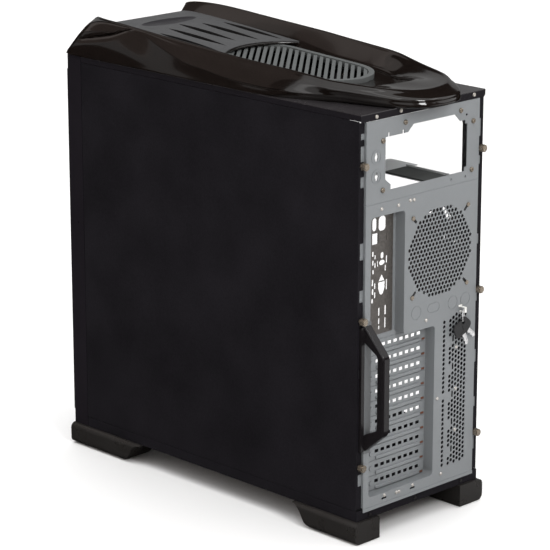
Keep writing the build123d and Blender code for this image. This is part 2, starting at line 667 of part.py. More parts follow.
# ---------------------------------------------------------------------------
# Front bezel with hinge lugs, mesh, bay covers, buttons and door
# ---------------------------------------------------------------------------
with BuildPart() as front_bezel:
    blk(-W2, W2, YF, Y_SEAM, Z_BASE + 0.3, Z_TC - 0.3)
    blk(-113, 113, YF + 3, Y_SEAM, Z_BASE + 3.3, Z_TC - 3.3, mode=Mode.SUBTRACT)
    with BuildSketch(rear_plane(YF + 3)):
        with Locations((0, 429)):
            Rectangle(149, 213)
        with Locations((0, 181)):
            Rectangle(156, 238)
        with Locations((LOCK_X, LOCK_Z)):
            Circle(14.5)
        with Locations((BTN_X, PWR_Z)):
            Circle(9.0)
        with Locations((BTN_X, RST_Z)):
            Circle(4.5)
        with Locations((BTN_X, 455), (BTN_X, 443)):
            Circle(2.6)
    extrude(amount=3, mode=Mode.SUBTRACT)
    for z0, z1 in ((39.0, 47.2), (542.4, 550.6)):
        blk(DOOR_HX - 7, DOOR_HX + 7, DOOR_HY, YF, z0, z1)
        rod("Z", DOOR_HX, DOOR_HY, 7.0, z0, z1)
        rod("Z", DOOR_HX, DOOR_HY, PIN_R + RUN, z0 - 1, z1 + 1, mode=Mode.SUBTRACT)
    fillet(front_bezel.edges().filter_by(Axis.Z).filter_by_position(Axis.Y, YF - 0.1, YF + 0.1)
           .filter_by(lambda e: abs(abs(e.center().X) - W2) < 0.1), 2.5)
front_bezel.part.label = "front_bezel"
export_step(front_bezel.part, "parts/front_bezel.step")

with BuildPart() as door_hinge_pins:
    rod("Z", DOOR_HX, DOOR_HY, PIN_R, 39.0, 60.0)
    rod("Z", DOOR_HX, DOOR_HY, PIN_R, 529.5, 550.6)
door_hinge_pins.part.label = "door_hinge_pins"
export_step(door_hinge_pins.part, "parts/door_hinge_pins.step")

with BuildPart() as front_mesh:
    blk(-77.6, 77.6, YF + 0.4, YF + 2.4, 62.4, 299.6)
    with BuildSketch(rear_plane(YF + 2.4)):
        with GridLocations(12.6, 0, 12, 1):
            with Locations((0, 181)):
                SlotOverall(224, 8.6, rotation=90)
    extrude(amount=2, mode=Mode.SUBTRACT)
    for z in (105, 155, 205, 255):
        blk(-76, 76, YF + 0.9, YF + 2.4, z - 1, z + 1)
front_mesh.part.label = "front_mesh"
export_step(front_mesh.part, "parts/front_mesh.step")

with BuildPart() as bay_covers:
    for k in range(5):
        zc = 345.4 + 41.8 * k
        blk(-74, 74, YF + 0.2, YF + 3.2, zc - 20.6, zc + 20.6)
        for s in (-1, 1):
            blk(s * 70.5, s * 72.5, YF + 3.2, YF + 21, zc - 16, zc + 16)
    fillet(bay_covers.edges().filter_by(Axis.X).filter_by_position(Axis.Y, YF + 0.1, YF + 0.3), 1.2)
bay_covers.part.label = "bay_covers"
export_step(bay_covers.part, "parts/bay_covers.step")

with BuildPart() as indicator_lenses:
    rod("Y", BTN_X, 455, 2.5, YF - 0.6, YF + 5)
    rod("Y", BTN_X, 443, 2.5, YF - 0.6, YF + 5)
    rod("Y", BTN_X, 455, 3.6, YF + 3, YF + 5)
    rod("Y", BTN_X, 443, 3.6, YF + 3, YF + 5)
indicator_lenses.part.label = "indicator_lenses"
export_step(indicator_lenses.part, "parts/indicator_lenses.step")

with BuildPart() as power_button:
    rod("Y", BTN_X, PWR_Z, 8.6, YF - 1.0, YF + 7)
    rod("Y", BTN_X, PWR_Z, 10.5, YF + 3.4, YF + 5)
    rod("Y", BTN_X, PWR_Z, 5.0, YF - 1.0, YF - 0.4, mode=Mode.SUBTRACT)
    rod("Y", BTN_X, PWR_Z, 3.8, YF - 1.0, YF - 0.2)
power_button.part.label = "power_button"
export_step(power_button.part, "parts/power_button.step")

with BuildPart() as reset_button:
    rod("Y", BTN_X, RST_Z, 4.1, YF - 1.0, YF + 7)
    rod("Y", BTN_X, RST_Z, 6.0, YF + 3.4, YF + 5)
reset_button.part.label = "reset_button"
export_step(reset_button.part, "parts/reset_button.step")

DOOR_B = YF - 1.7     # back face of the door
with BuildPart() as front_door:
    with BuildSketch(Plane.XY.offset(48.2)):
        with BuildLine():
            Polyline((DOOR_HX, DOOR_HY - 8.0), (DOOR_HX, DOOR_B), (112.5, DOOR_B), (112.5, -293.0))
            ThreePointArc((112.5, -293.0), (25.0, -301.92), (DOOR_HX, DOOR_HY - 8.0))
        make_face()
        with Locations((DOOR_HX, DOOR_HY)):
            Circle(8.0)
    extrude(amount=541.4 - 48.2)
    with BuildSketch(Plane.XY.offset(56)):
        with BuildLine():
            Polyline((-88, -303.5), (-88, DOOR_B), (60, DOOR_B), (60, -295.8))
            ThreePointArc((60, -295.8), (-14.0, -301.2), (-88, -303.5))
        make_face()
    extrude(amount=478, mode=Mode.SUBTRACT)
    rod("Z", DOOR_HX, DOOR_HY, PIN_R + RUN, 47, 62, mode=Mode.SUBTRACT)
    rod("Z", DOOR_HX, DOOR_HY, PIN_R + RUN, 527.5, 543, mode=Mode.SUBTRACT)
    rod("Y", LOCK_X, LOCK_Z, 8.0, -305, -288, mode=Mode.SUBTRACT)
front_door.part.label = "front_door"
export_step(front_door.part, "parts/front_door.step")

with BuildPart() as door_lock:
    rod("Y", LOCK_X, LOCK_Z, 8.0 - RUN, -296.5, YF - 1.2)
    rod("Y", LOCK_X, LOCK_Z, 9.6, -297.7, -296.5)
    blk(LOCK_X - 0.7, LOCK_X + 0.7, -297.7, -295.6, LOCK_Z - 3.4, LOCK_Z + 3.4, mode=Mode.SUBTRACT)
    blk(LOCK_X - 3.5, LOCK_X + 3.5, YF - 1.2, YF + 1.4, LOCK_Z - 3.5, LOCK_Z + 10.5)
door_lock.part.label = "door_lock"
export_step(door_lock.part, "parts/door_lock.step")

# ---------------------------------------------------------------------------
# Side panels with their thumbscrews, window and pull handle
# ---------------------------------------------------------------------------
NOTCH_R = [(535, 8), (513, 20), (477, 14), (388, 22), (330, 16), (228, 12), (85, 16)]
NOTCH_L = [(513, 24), (470, 12), (364, 14), (285, 12), (204, 18), (140, 14), (83, 20)]


def panel_shape(s, notches, thumbs):
    """Folded steel tray, inside the part being built. s is +1 or -1."""
    blk(s * 115, s * W2, Y_SEAM + 0.6, PF_Y + T, Z_RAIL + 0.4, Z_PT)
    blk(s * 106.6, s * 115, PF_Y, PF_Y + T, Z_RAIL + 2.6, Z_PT - 2.2)
    blk(s * 107.5, s * 115, Y_SEAM + 0.6, Y_SEAM + 1.6, Z_RAIL + 2.6, Z_PT - 2.2)
    blk(s * 107.5, s * 115, Y_SEAM + 12, PF_Y - 19.5, Z_PT - T, Z_PT)
    blk(s * 107.5, s * 115, Y_SEAM + 12, PF_Y - 12, Z_RAIL + 0.4, Z_RAIL + 1.4)
    for z, h in notches:
        blk(s * 105, s * 112.6, PF_Y - 1, PF_Y + 2, z - h / 2, z + h / 2, mode=Mode.SUBTRACT)
    for z in thumbs:
        rod("Y", s * 110.5, z, 2.3, PF_Y - 1, PF_Y + 2, mode=Mode.SUBTRACT)


def thumb_shape(s, thumbs):
    """Knurled-head screws, inside the part being built."""
    for z in thumbs:
        rod("Y", s * 110.5, z, 1.9, FL_Y - 7, PF_Y + T)
        rod("Y", s * 110.5, z, 3.6, PF_Y + T, PF_Y + T + 2.2)
        rod("Y", s * 110.5, z, 5.0, PF_Y + T + 2.2, PF_Y + T + 8.4)
        rod("Y", s * 110.5, z, 3.9, PF_Y + T + 8.4, PF_Y + T + 9.2)
        with Locations(Location((s * 110.5, PF_Y + T + 5.3, z), (90, 0, 0))):
            with PolarLocations(5.15, 14):
                Cylinder(0.45, 7.0, mode=Mode.SUBTRACT)


with BuildPart() as right_side_panel:
    panel_shape(1, NOTCH_R, THUMB_R)
right_side_panel.part.label = "right_side_panel"
export_step(right_side_panel.part, "parts/right_side_panel.step")

with BuildPart() as right_thumbscrews:
    thumb_shape(1, THUMB_R)
right_thumbscrews.part.label = "right_thumbscrews"
export_step(right_thumbscrews.part, "parts/right_thumbscrews.step")

# the handle stands on a plate that reaches from the panel's rear flange over
# the margin of the rear panel
H_X0, H_X1, H_Y0, H_Y1 = 94.6, 107.2, 270.5, 304.0
with BuildPart() as right_panel_handle:
    with BuildSketch(Plane.YZ.offset(H_X0)) as handle_sk:
        with BuildLine():
            Polyline((H_Y0, 291.5), (H_Y1, 256.0), (H_Y1, 153.5), (H_Y0, 125), (H_Y0, 147.5), (291.4, 157.5),
                     (291.8, 255.5), (H_Y0, 268.5), close=True)
        make_face()
        fillet(handle_sk.vertices().filter_by(lambda v: v.X > 299), 13)
        fillet(handle_sk.vertices().filter_by(lambda v: 285 < v.X < 295), 7)
    extrude(handle_sk.sketch, amount=H_X1 - H_X0)
    fillet(right_panel_handle.edges().filter_by(lambda e: e.center().Y > H_Y0 + 1.0 and
           min(abs(e.center().X - H_X0), abs(e.center().X - H_X1)) < 0.05), 2.6)
    blk(95.0, 106.8, H_Y0 - 1.2, H_Y0, 121, 295)
    blk(105.9, 112.4, HY, H_Y0, 124, 290)
right_panel_handle.part.label = "right_panel_handle"
export_step(right_panel_handle.part, "parts/right_panel_handle.step")

WIN = [(-190, 92), (192, 92), (192, 262), (232, 300), (232, 522), (-190, 522)]
with BuildPart() as left_side_panel:
    panel_shape(-1, NOTCH_L, THUMB_L)
    with BuildSketch(Plane.YZ.offset(-W2)) as win_cut:
        with BuildLine():
            Polyline(*WIN, close=True)
        make_face()
        fillet(win_cut.vertices(), 12)
    extrude(amount=T, mode=Mode.SUBTRACT)
    WR = [(y, z) for y in (-196.5, -60, 75, 186) for z in (85.5,)] + \
         [(-196.5, 230), (-196.5, 380), (-196.5, 528.5), (-60, 528.5), (75, 528.5), (238, 528.5),
          (238, 420), (238, 300), (198.5, 200)]
    with BuildSketch(Plane.YZ.offset(-W2)):
        with Locations(*WR):
            Circle(1.9)
    extrude(amount=T, mode=Mode.SUBTRACT)
left_side_panel.part.label = "left_side_panel"
export_step(left_side_panel.part, "parts/left_side_panel.step")

with BuildPart() as left_window:
    with BuildSketch(Plane.YZ.offset(-115)) as win_pane:
        with BuildLine():
            Polyline(*WIN, close=True)
        make_face()
        fillet(win_pane.vertices(), 12)
        offset(amount=11.4)
        with Locations(*WR):
            Circle(1.9, mode=Mode.SUBTRACT)
    extrude(amount=3.0)
left_window.part.label = "left_window"
export_step(left_window.part, "parts/left_window.step")

with BuildPart() as window_rivets:
    for y, z in WR:
        rod("X", y, z, 3.6, -W2 - 0.9, -W2)
        rod("X", y, z, 1.8, -W2, -112)
        rod("X", y, z, 3.0, -112, -110.6)
window_rivets.part.label = "window_rivets"
export_step(window_rivets.part, "parts/window_rivets.step")

with BuildPart() as left_thumbscrews:
    thumb_shape(-1, THUMB_L)
left_thumbscrews.part.label = "left_thumbscrews"
export_step(left_thumbscrews.part, "parts/left_thumbscrews.step")

# ---------------------------------------------------------------------------
# Top fairing, grille, port panel and sliding lid
# ---------------------------------------------------------------------------
SL = math.radians(LID_SLOPE)


def lid_z(y):
    """Height of the lid's upper face at y."""
    return LID_Z0 - math.tan(SL) * (y - LID_Y0)


Y_TAIL = 306.8        # end of the fairing's tail, behind the rear panel


def fairing_hull(inset):
    """Closed outer form of the fairing, drawn in by inset on all sides but
    the bottom, inside the part being built."""
    e = inset
    with BuildSketch(Plane.XY.offset(Z_TC)) as plan:
        with BuildLine():
            Polyline((-W2 + e, 95), (-W2 + e, YF + e), (W2 - e, YF + e), (W2 - e, 95))
            Spline((W2 - e, 95), (104 - e, 142), (83 - e, 184), (72 - e, 216), (65 - e, 244),
                   (53 - e, 280 - e), (30, 300 - e), (0, Y_TAIL - e), (-30, 300 - e), (-53 + e, 280 - e),
                   (-65 + e, 244), (-72 + e, 216), (-83 + e, 184), (-104 + e, 142), (-W2 + e, 95),
                   tangents=[(-0.12, 1), (-0.12, -1)])
        make_face()
    extrude(plan.sketch, amount=52 - e)
    with BuildSketch(Plane.YZ.offset(-130)) as side:
        with BuildLine():
            Polyline((YF, Z_TC - 1), (YF, 592 - e), (-262, 611 - e), (-235, 613.6 - e), (-205, 613.4 - e),
                     (-130, 609 - e), (-10, 602.2 - e), (110, 595.4 - e), (170, 593 - e), (215, 591 - e),
                     (240, 588 - e), (258, 584 - e), (276, 579 - e), (294, 572.5 - e), (Y_TAIL + 6, 565 - e / 2),
                     (Y_TAIL + 6, Z_TC - 1), close=True)
        make_face()
    extrude(side.sketch, amount=260, mode=Mode.INTERSECT)
    with BuildSketch(Plane.XZ.offset(-310)) as front:
        with BuildLine():
            Polyline((-W2 + e, Z_TC - 1), (-W2 + e, 566), (-110 + e, 584), (-100 + e, 604 - e), (-95 + e, 614 - e),
                     (95 - e, 614 - e), (100 - e, 604 - e), (110 - e, 584), (W2 - e, 566), (W2 - e, Z_TC - 1), close=True)
        make_face()
    extrude(front.sketch, amount=620, mode=Mode.INTERSECT)


P_SLOPE = Plane(origin=(0, -300, lid_z(-300) - LID_T - 0.5), x_dir=(1, 0, 0),
                z_dir=(0, math.cos(SL), -math.sin(SL)))


def trough(w0, w1, depth, grow, y_end):
    """Long pocket along the slope of the lid, cut from the part being built.
    w0 half width at the floor, w1 at the rim, depth below the lid's guide."""
    with BuildSketch(P_SLOPE) as section:
        with BuildLine():
            # local x is X, local y is across the slope and points down
            Polyline((-w0 - grow, depth + grow), (-w1 - grow, -12), (-w1 - grow, -60), (w1 + grow, -60),
                     (w1 + grow, -12), (w0 + grow, depth + grow), close=True)
        make_face()
    extrude(section.sketch, amount=(y_end + 300) / math.cos(SL), mode=Mode.SUBTRACT)


with BuildPart() as fairing_core:
    fairing_hull(3.0)
    trough(75.0, 91.0, 0.0, 3.0, 153)
    trough(60.0, 60.0, 9.0, 3.0, 188)

GR_Y0, GR_Y1, GR_W = -72.0, 161.0, 57.0
with BuildPart() as top_fairing:
    fairing_hull(0.0)
    trough(75.0, 91.0, 0.0, 0.0, 150)
    trough(60.0, 60.0, 9.0, 0.0, 185)
    add(fairing_core.part, mode=Mode.SUBTRACT)
    # duct opening under the grille and seat of the port panel
    with BuildSketch(Plane.XY.offset(Z_TC - 1)):
        with Locations((0, (GR_Y0 + GR_Y1) / 2)):
            SlotOverall(GR_Y1 - GR_Y0 - 14, 2 * GR_W - 14, rotation=90)
        with Locations((0, -190)):
            Rectangle(104.6, 50.6)
    extrude(amount=60, mode=Mode.SUBTRACT)
top_fairing.part.label = "top_fairing"
export_step(top_fairing.part, "parts/top_fairing.step")

with BuildPart() as top_port_panel:
    blk(-52, 52, -215, -165, 580, 593)
    blk(-49, 49, -212, -168, 580, 590, mode=Mode.SUBTRACT)
    with BuildSketch(Plane.XY.offset(590)):
        with Locations((-34, -190), (-14, -190)):
            Rectangle(13.4, 6.0)
        with Locations((8, -190), (24, -190)):
            Circle(3.6)
        with Locations((41, -190)):
            Rectangle(9.4, 6.4)
    extrude(amount=3, mode=Mode.SUBTRACT)
    for s in (-1, 1):
        blk(s * 46, s * 48, -211.8, -168.2, Z_TC, 590)
top_port_panel.part.label = "top_port_panel"
export_step(top_port_panel.part, "parts/top_port_panel.step")

with BuildPart() as port_sockets:
    for x in (-34, -14):
        blk(x - 6.6, x + 6.6, -192.9, -187.1, 578, 592.6)
        blk(x - 5.9, x + 5.9, -192.3, -187.7, 589.0, 592.6, mode=Mode.SUBTRACT)
        blk(x - 5.2, x + 5.2, -190.0, -188.2, 589.0, 592.2)
    for x in (8, 24):
        rod("Z", x, -190, 3.5, 578, 592.6)
        rod("Z", x, -190, 1.75, 588, 592.6, mode=Mode.SUBTRACT)
    blk(36.4, 45.6, -193.1, -186.9, 578, 592.6)
    blk(37.2, 44.8, -192.4, -187.6, 589.0, 592.6, mode=Mode.SUBTRACT)
port_sockets.part.label = "port_sockets"
export_step(port_sockets.part, "parts/port_sockets.step")

GR_TOP = LID_T + 1.5        # grille rim below the plane of the lid
GR_BOT = LID_T + 0.5 + 8.9  # foot of the rim, on the floor of the trough
GR_L = GR_Y1 - GR_Y0


def slope_plane(drop):
    """Plane parallel to the lid, centred over the grille, drop below it."""
    yc = (GR_Y0 + GR_Y1) / 2
    return Plane(origin=(0, yc - math.sin(SL) * drop, lid_z(yc) - math.cos(SL) * drop),
                 x_dir=(1, 0, 0), z_dir=(0, math.sin(SL), math.cos(SL)))


with BuildPart() as top_grille:
    with BuildSketch(slope_plane(GR_BOT)):
        SlotOverall(GR_L, 2 * GR_W, rotation=90)
        SlotOverall(GR_L - 15, 2 * GR_W - 15, rotation=90, mode=Mode.SUBTRACT)
    extrude(amount=GR_BOT - GR_TOP)
    with BuildSketch(slope_plane(GR_TOP + 4.5)):
        SlotOverall(GR_L - 12, 2 * GR_W - 12, rotation=90)
        with Locations(Location((0, 0, 0), (0, 0, -47.5))):
            with Locations(*[(8.5 * k, 0) for k in range(-14, 14)]):
                Rectangle(3.7, 300, mode=Mode.SUBTRACT)
    extrude(amount=3.0)
top_grille.part.label = "top_grille"
export_step(top_grille.part, "parts/top_grille.step")

P_LID = Plane(origin=(0, LID_Y0, LID_Z0), x_dir=(1, 0, 0), z_dir=(0, math.sin(SL), math.cos(SL)))
with BuildPart() as top_lid:
    with BuildSketch(P_LID):
        with BuildLine():
            Polyline((71, 241), (LID_W, 36), (65, 16), (-65, 16), (-LID_W, 36), (-71, 241))
            ThreePointArc((-71, 241), (0, 214), (71, 241))
        make_face()
        with Locations((0, 134), (30.3, 147.5), (-30.3, 147.5), (60.5, 161.5), (-60.5, 161.5)):
            SlotOverall(112, 5.0, rotation=90, mode=Mode.SUBTRACT)
    extrude(amount=-LID_T)
    with BuildSketch(P_LID):
        with Locations((0, 56)):
            Ellipse(47, 10.5)
    extrude(amount=-1.6, mode=Mode.SUBTRACT)
top_lid.part.label = "top_lid"
export_step(top_lid.part, "parts/top_lid.step")

# ---------------------------------------------------------------------------
# Spare keys for the door lock, tied to the rear vent
# ---------------------------------------------------------------------------
with BuildPart() as key_tie:
    blk(RING_X - 1.7, RING_X + 1.7, YR, RING_Y + 4.2, RING_Z - 3.6, RING_Z + 3.9)
    blk(RING_X - 3, RING_X + 3, YR - 1, RING_Y + 2.8, RING_Z - 2.4, RING_Z + 2.7, mode=Mode.SUBTRACT)
    blk(RING_X - 3.2, RING_X + 3.2, YR, YR + 1.0, RING_Z + 2.7, RING_Z + 5.4)
key_tie.part.label = "key_tie"
export_step(key_tie.part, "parts/key_tie.step")

# the ring hangs askew, so that it threads the heads of both keys
RING_R, SKEW = 8.0, math.radians(35)
with BuildPart() as key_ring:
    with Locations(Plane(origin=(RING_X, RING_Y, RING_Z - RING_R), z_dir=(-math.sin(SKEW), math.cos(SKEW), 0)).location):
        Torus(RING_R, 0.75)
key_ring.part.label = "key_ring"
export_step(key_ring.part, "parts/key_ring.step")


def key_shape(y0, tilt):
    """Flat key with a broad head, hanging from the ring and swung by tilt
    degrees, inside the part being built."""
    yc = y0 + 0.95 - RING_Y
    px = RING_X + yc / math.tan(SKEW)
    pz = RING_Z - 2 * RING_R + (yc / math.sin(SKEW)) ** 2 / (2 * RING_R)
    xd = (math.cos(math.radians(tilt)), 0, math.sin(math.radians(tilt)))
    with BuildSketch(Plane(origin=(px, y0 + 1.9, pz), x_dir=xd, z_dir=(0, -1, 0))) as head:
        with Locations((7.0, -6.0)):
            RectangleRounded(26, 20.5, 6)
        Circle(3.2, mode=Mode.SUBTRACT)
    extrude(head.sketch, amount=1.9)
    with BuildSketch(Plane(origin=(px, y0 + 1.5, pz), x_dir=xd, z_dir=(0, -1, 0))) as blade:
        with BuildLine():
            Polyline((2.0, -14.0), (2.0, -30.5), (5.0, -33.5), (8.2, -31.5), (8.2, -29), (7.0, -27.6), (8.2, -26.2),
                     (8.2, -23), (7.2, -21.6), (8.4, -20.2), (8.4, -14.0), close=True)
        make_face()
    extrude(blade.sketch, amount=1.1)


with BuildPart() as key_one:
    key_shape(275.5, -24)
key_one.part.label = "key_one"
export_step(key_one.part, "parts/key_one.step")

with BuildPart() as key_two:
    key_shape(272.4, -50)
key_two.part.label = "key_two"
export_step(key_two.part, "parts/key_two.step")
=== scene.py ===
import math
import bpy
import bmesh
import numpy as np
from mathutils import Matrix, Vector


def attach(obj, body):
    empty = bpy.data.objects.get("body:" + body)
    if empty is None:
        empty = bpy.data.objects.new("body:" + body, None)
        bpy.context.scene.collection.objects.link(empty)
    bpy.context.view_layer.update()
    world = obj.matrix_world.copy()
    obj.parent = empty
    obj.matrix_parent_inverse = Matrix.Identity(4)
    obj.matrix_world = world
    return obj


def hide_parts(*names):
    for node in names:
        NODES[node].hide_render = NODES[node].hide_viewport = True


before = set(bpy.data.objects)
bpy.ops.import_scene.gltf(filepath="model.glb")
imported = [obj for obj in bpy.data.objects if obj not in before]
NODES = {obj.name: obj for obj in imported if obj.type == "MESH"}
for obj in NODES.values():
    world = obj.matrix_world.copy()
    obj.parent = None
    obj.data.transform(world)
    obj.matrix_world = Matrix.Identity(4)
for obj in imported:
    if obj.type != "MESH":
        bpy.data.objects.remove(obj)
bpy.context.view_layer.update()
MM = 0.001
scene = bpy.context.scene
scene.view_settings.view_transform = "Standard"
scene.view_settings.look = "None"

# ---------------------------------------------------------------------------
# Camera
# ---------------------------------------------------------------------------
AZ, EL = math.radians(44.53), math.radians(15.93)
back = Vector((math.sin(AZ) * math.cos(EL), math.cos(AZ) * math.cos(EL), math.sin(EL)))
right = Vector((-math.cos(AZ), math.sin(AZ), 0.0))
up = back.cross(right)
cam_data = bpy.data.cameras.new("camera")
cam = bpy.data.objects.new("camera", cam_data)
scene.collection.objects.link(cam)
rot = Matrix((right, up, back)).transposed().to_4x4()
cam.matrix_world = Matrix.Translation(Vector((2.3702, 2.4095, 1.2446))) @ rot
cam_data.sensor_width = 36.0
cam_data.lens = 169.6
cam_data.shift_x = 0.0008
cam_data.shift_y = 0.0034
cam_data.clip_start = 0.05
cam_data.clip_end = 60.0
scene.camera = cam

# ---------------------------------------------------------------------------
# Material helpers
# ---------------------------------------------------------------------------


class Mat:
    """A principled material with a small set of node shortcuts."""

    def __init__(self, name):
        self.m = bpy.data.materials.new(name)
        self.m.use_nodes = True
        self.t = self.m.node_tree
        self.t.nodes.clear()
        self.out = self.t.nodes.new("ShaderNodeOutputMaterial")
        self.b = self.t.nodes.new("ShaderNodeBsdfPrincipled")
        self.t.links.new(self.b.outputs[0], self.out.inputs[0])
        self.tc = self.t.nodes.new("ShaderNodeTexCoord")
        self.last_normal = None

    def set(self, **kw):
        names = dict(rough="Roughness", metal="Metallic", spec="Specular IOR Level", ior="IOR", alpha="Alpha",
                     coat="Coat Weight", coat_rough="Coat Roughness", coat_ior="Coat IOR", sheen="Sheen Weight",
                     trans="Transmission Weight", sss="Subsurface Weight", aniso="Anisotropic", emit="Emission Strength")
        for k, v in kw.items():
            if k == "base":
                self.b.inputs["Base Color"].default_value = (*v, 1.0)
            elif k == "emit_color":
                self.b.inputs["Emission Color"].default_value = (*v, 1.0)
            else:
                self.b.inputs[names[k]].default_value = v
        return self

    def node(self, kind, **kw):
        n = self.t.nodes.new(kind)
        for k, v in kw.items():
            setattr(n, k, v)
        return n

    def link(self, a, b):
        self.t.links.new(a, b)

    def coords(self, stretch=None):
        """Object coordinates in metres, optionally stretched."""
        if stretch is None:
            return self.tc.outputs["Object"]
        mp = self.node("ShaderNodeMapping")
        mp.inputs["Scale"].default_value = stretch
        self.link(self.tc.outputs["Object"], mp.inputs[0])
        return mp.outputs[0]

    def noise(self, scale, detail=3.0, rough=0.55, stretch=None, dist=0.0):
        n = self.node("ShaderNodeTexNoise")
        n.inputs["Scale"].default_value = scale
        n.inputs["Detail"].default_value = detail
        n.inputs["Roughness"].default_value = rough
        n.inputs["Distortion"].default_value = dist
        self.link(self.coords(stretch), n.inputs["Vector"])
        return n.outputs["Fac"]

    def voronoi(self, scale, feature="F1"):
        n = self.node("ShaderNodeTexVoronoi")
        n.feature = feature
        n.inputs["Scale"].default_value = scale
        self.link(self.coords(), n.inputs["Vector"])
        return n.outputs["Distance"]

    def ramp(self, fac, stops):
        r = self.node("ShaderNodeValToRGB")
        e = r.color_ramp.elements
        while len(e) < len(stops):
            e.new(0.5)
        for el, (p, c) in zip(e, stops):
            el.position = p
            el.color = (*c, 1.0)
        self.link(fac, r.inputs[0])
        return r.outputs[0]

    def maprange(self, fac, a, b, c, d):
        r = self.node("ShaderNodeMapRange")
        for i, v in enumerate((a, b, c, d)):
            r.inputs[i + 1].default_value = v
        self.link(fac, r.inputs[0])
        return r.outputs[0]

    def math(self, op, a, b=None):
        n = self.node("ShaderNodeMath", operation=op)
        for i, v in enumerate((a, b)):
            if v is None:
                continue
            if isinstance(v, (int, float)):
                n.inputs[i].default_value = v
            else:
                self.link(v, n.inputs[i])
        return n.outputs[0]

    def color(self, out):
        self.link(out, self.b.inputs["Base Color"])
        return self

    def rough(self, out):
        self.link(out, self.b.inputs["Roughness"])
        return self

    def bump(self, height, strength=0.3, dist=0.0005):
        n = self.node("ShaderNodeBump")
        n.inputs["Strength"].default_value = strength
        n.inputs["Distance"].default_value = dist
        self.link(height, n.inputs["Height"])
        if self.last_normal is not None:
            self.link(self.last_normal, n.inputs["Normal"])
        self.link(n.outputs[0], self.b.inputs["Normal"])
        self.last_normal = n.outputs[0]
        return self


def shade(c, k):
    return tuple(min(1.0, x * k) for x in c)


def painted(name, base, rough, spec, var=0.08, fine=900.0, bump=0.15, bump_d=0.00012, rvar=0.07, cloud=6.0, coat=0.0, coat_rough=0.1):
    """Paint or moulded plastic: soft clouding, fine speckle and orange peel."""
    m = Mat(name).set(spec=spec, coat=coat, coat_rough=coat_rough)
    big = m.noise(cloud, 2.0)
    fin = m.noise(fine, 2.0)
    mixv = m.math("ADD", m.math("MULTIPLY", big, 0.55), m.math("MULTIPLY", fin, 0.45))
    m.color(m.ramp(mixv, [(0.30, shade(base, 1 - var)), (0.50, base), (0.70, shade(base, 1 + var))]))
    m.rough(m.maprange(m.noise(cloud * 5, 3.0), 0.3, 0.7, max(0.02, rough - rvar), rough + rvar))
    m.bump(m.noise(fine * 0.9, 2.0), bump, bump_d)
    return m


def plated(name, base, rough, var=0.12, scale=700.0):
    """Plated metal with a little tarnish and fine turning marks."""
    m = Mat(name).set(metal=0.5, spec=0.6)
    f = m.noise(scale, 3.0)
    m.color(m.ramp(f, [(0.30, shade(base, 1 - var)), (0.55, base), (0.75, shade(base, 1 + var))]))
    m.rough(m.maprange(m.noise(scale * 0.4, 3.0), 0.3, 0.7, max(0.05, rough - 0.08), rough + 0.12))
    m.bump(m.noise(scale * 3, 2.0), 0.12, 0.00006)
    return m


M = {}
M["gray_steel"] = painted("gray_steel", (0.192, 0.204, 0.213), 0.44, 0.40, var=0.07, fine=1500, bump=0.2, bump_d=0.00006)
M["gray_shelf"] = painted("gray_shelf", (0.70, 0.72, 0.73), 0.42, 0.5, var=0.06, fine=1500, bump=0.2, bump_d=0.00006)
M["black_panel"] = painted("black_panel", (0.0106, 0.0096, 0.0120), 0.48, 0.055, var=0.35, fine=420, bump=0.5, bump_d=0.00016, rvar=0.05, cloud=9.0)
M["black_cover"] = painted("black_cover", (0.0065, 0.0052, 0.0060), 0.24, 0.55, var=0.25, fine=700, bump=0.18, bump_d=0.00006, rvar=0.05)
M["port_plate"] = plated("port_plate", (0.120, 0.110, 0.102), 0.36, var=0.25, scale=260)
M["nickel"] = plated("nickel", (0.60, 0.575, 0.54), 0.17)
M["screw_nickel"] = plated("screw_nickel", (0.34, 0.29, 0.235), 0.20, var=0.25).set(metal=0.82)
M["rust"] = painted("rust", (0.115, 0.042, 0.022), 0.5, 0.4, var=0.3, fine=900, bump=0.3, bump_d=0.0001)
M["brass"] = plated("brass", (0.74, 0.55, 0.26), 0.28)
M["rubber"] = painted("rubber", (0.020, 0.020, 0.021), 0.75, 0.3, var=0.2, fine=1200, bump=0.4, bump_d=0.0002)
M["shelf_pad"] = painted("shelf_pad", (0.080, 0.085, 0.083), 0.6, 0.3, var=0.12, fine=1200, bump=0.4, bump_d=0.0002)
M["foot_plastic"] = painted("foot_plastic", (0.020, 0.0182, 0.0172), 0.30, 0.50, var=0.18, fine=1600, bump=0.35, bump_d=0.00012)
M["bezel_plastic"] = painted("bezel_plastic", (0.0118, 0.0100, 0.0130), 0.34, 0.07, var=0.25, fine=900, bump=0.12, bump_d=0.00006)
M["black_plastic"] = painted("black_plastic", (0.014, 0.013, 0.013), 0.5, 0.4, var=0.2, fine=1500, bump=0.35, bump_d=0.00012)
M["grille_gray"] = painted("grille_gray", (0.098, 0.104, 0.104), 0.42, 0.35, var=0.10, fine=1900, bump=0.25, bump_d=0.00008, cloud=12)
M["lid_gray"] = painted("lid_gray", (0.0640, 0.0648, 0.0670), 0.42, 0.35, var=0.10, fine=1900, bump=0.25, bump_d=0.00008, cloud=12)
# darker copy of the lid paint, used in the finger hollow as painted shade
M["lid_hollow_painted_shade"] = painted("lid_hollow_painted_shade", (0.0230, 0.0220, 0.0245), 0.36, 0.40, var=0.10, fine=1900, bump=0.25, bump_d=0.00008, cloud=12)
M["steel_bright"] = plated("steel_bright", (0.72, 0.72, 0.73), 0.16, var=0.08)
M["key_head"] = painted("key_head", (0.010, 0.010, 0.011), 0.35, 0.5, var=0.2, fine=2200, bump=0.3, bump_d=0.00008)
M["white_nylon"] = painted("white_nylon", (0.78, 0.78, 0.75), 0.45, 0.4, var=0.05, fine=1800, bump=0.3, bump_d=0.0001)
M["button_gray"] = painted("button_gray", (0.10, 0.10, 0.105), 0.22, 0.5, var=0.08, fine=1500, bump=0.1, bump_d=0.00005)

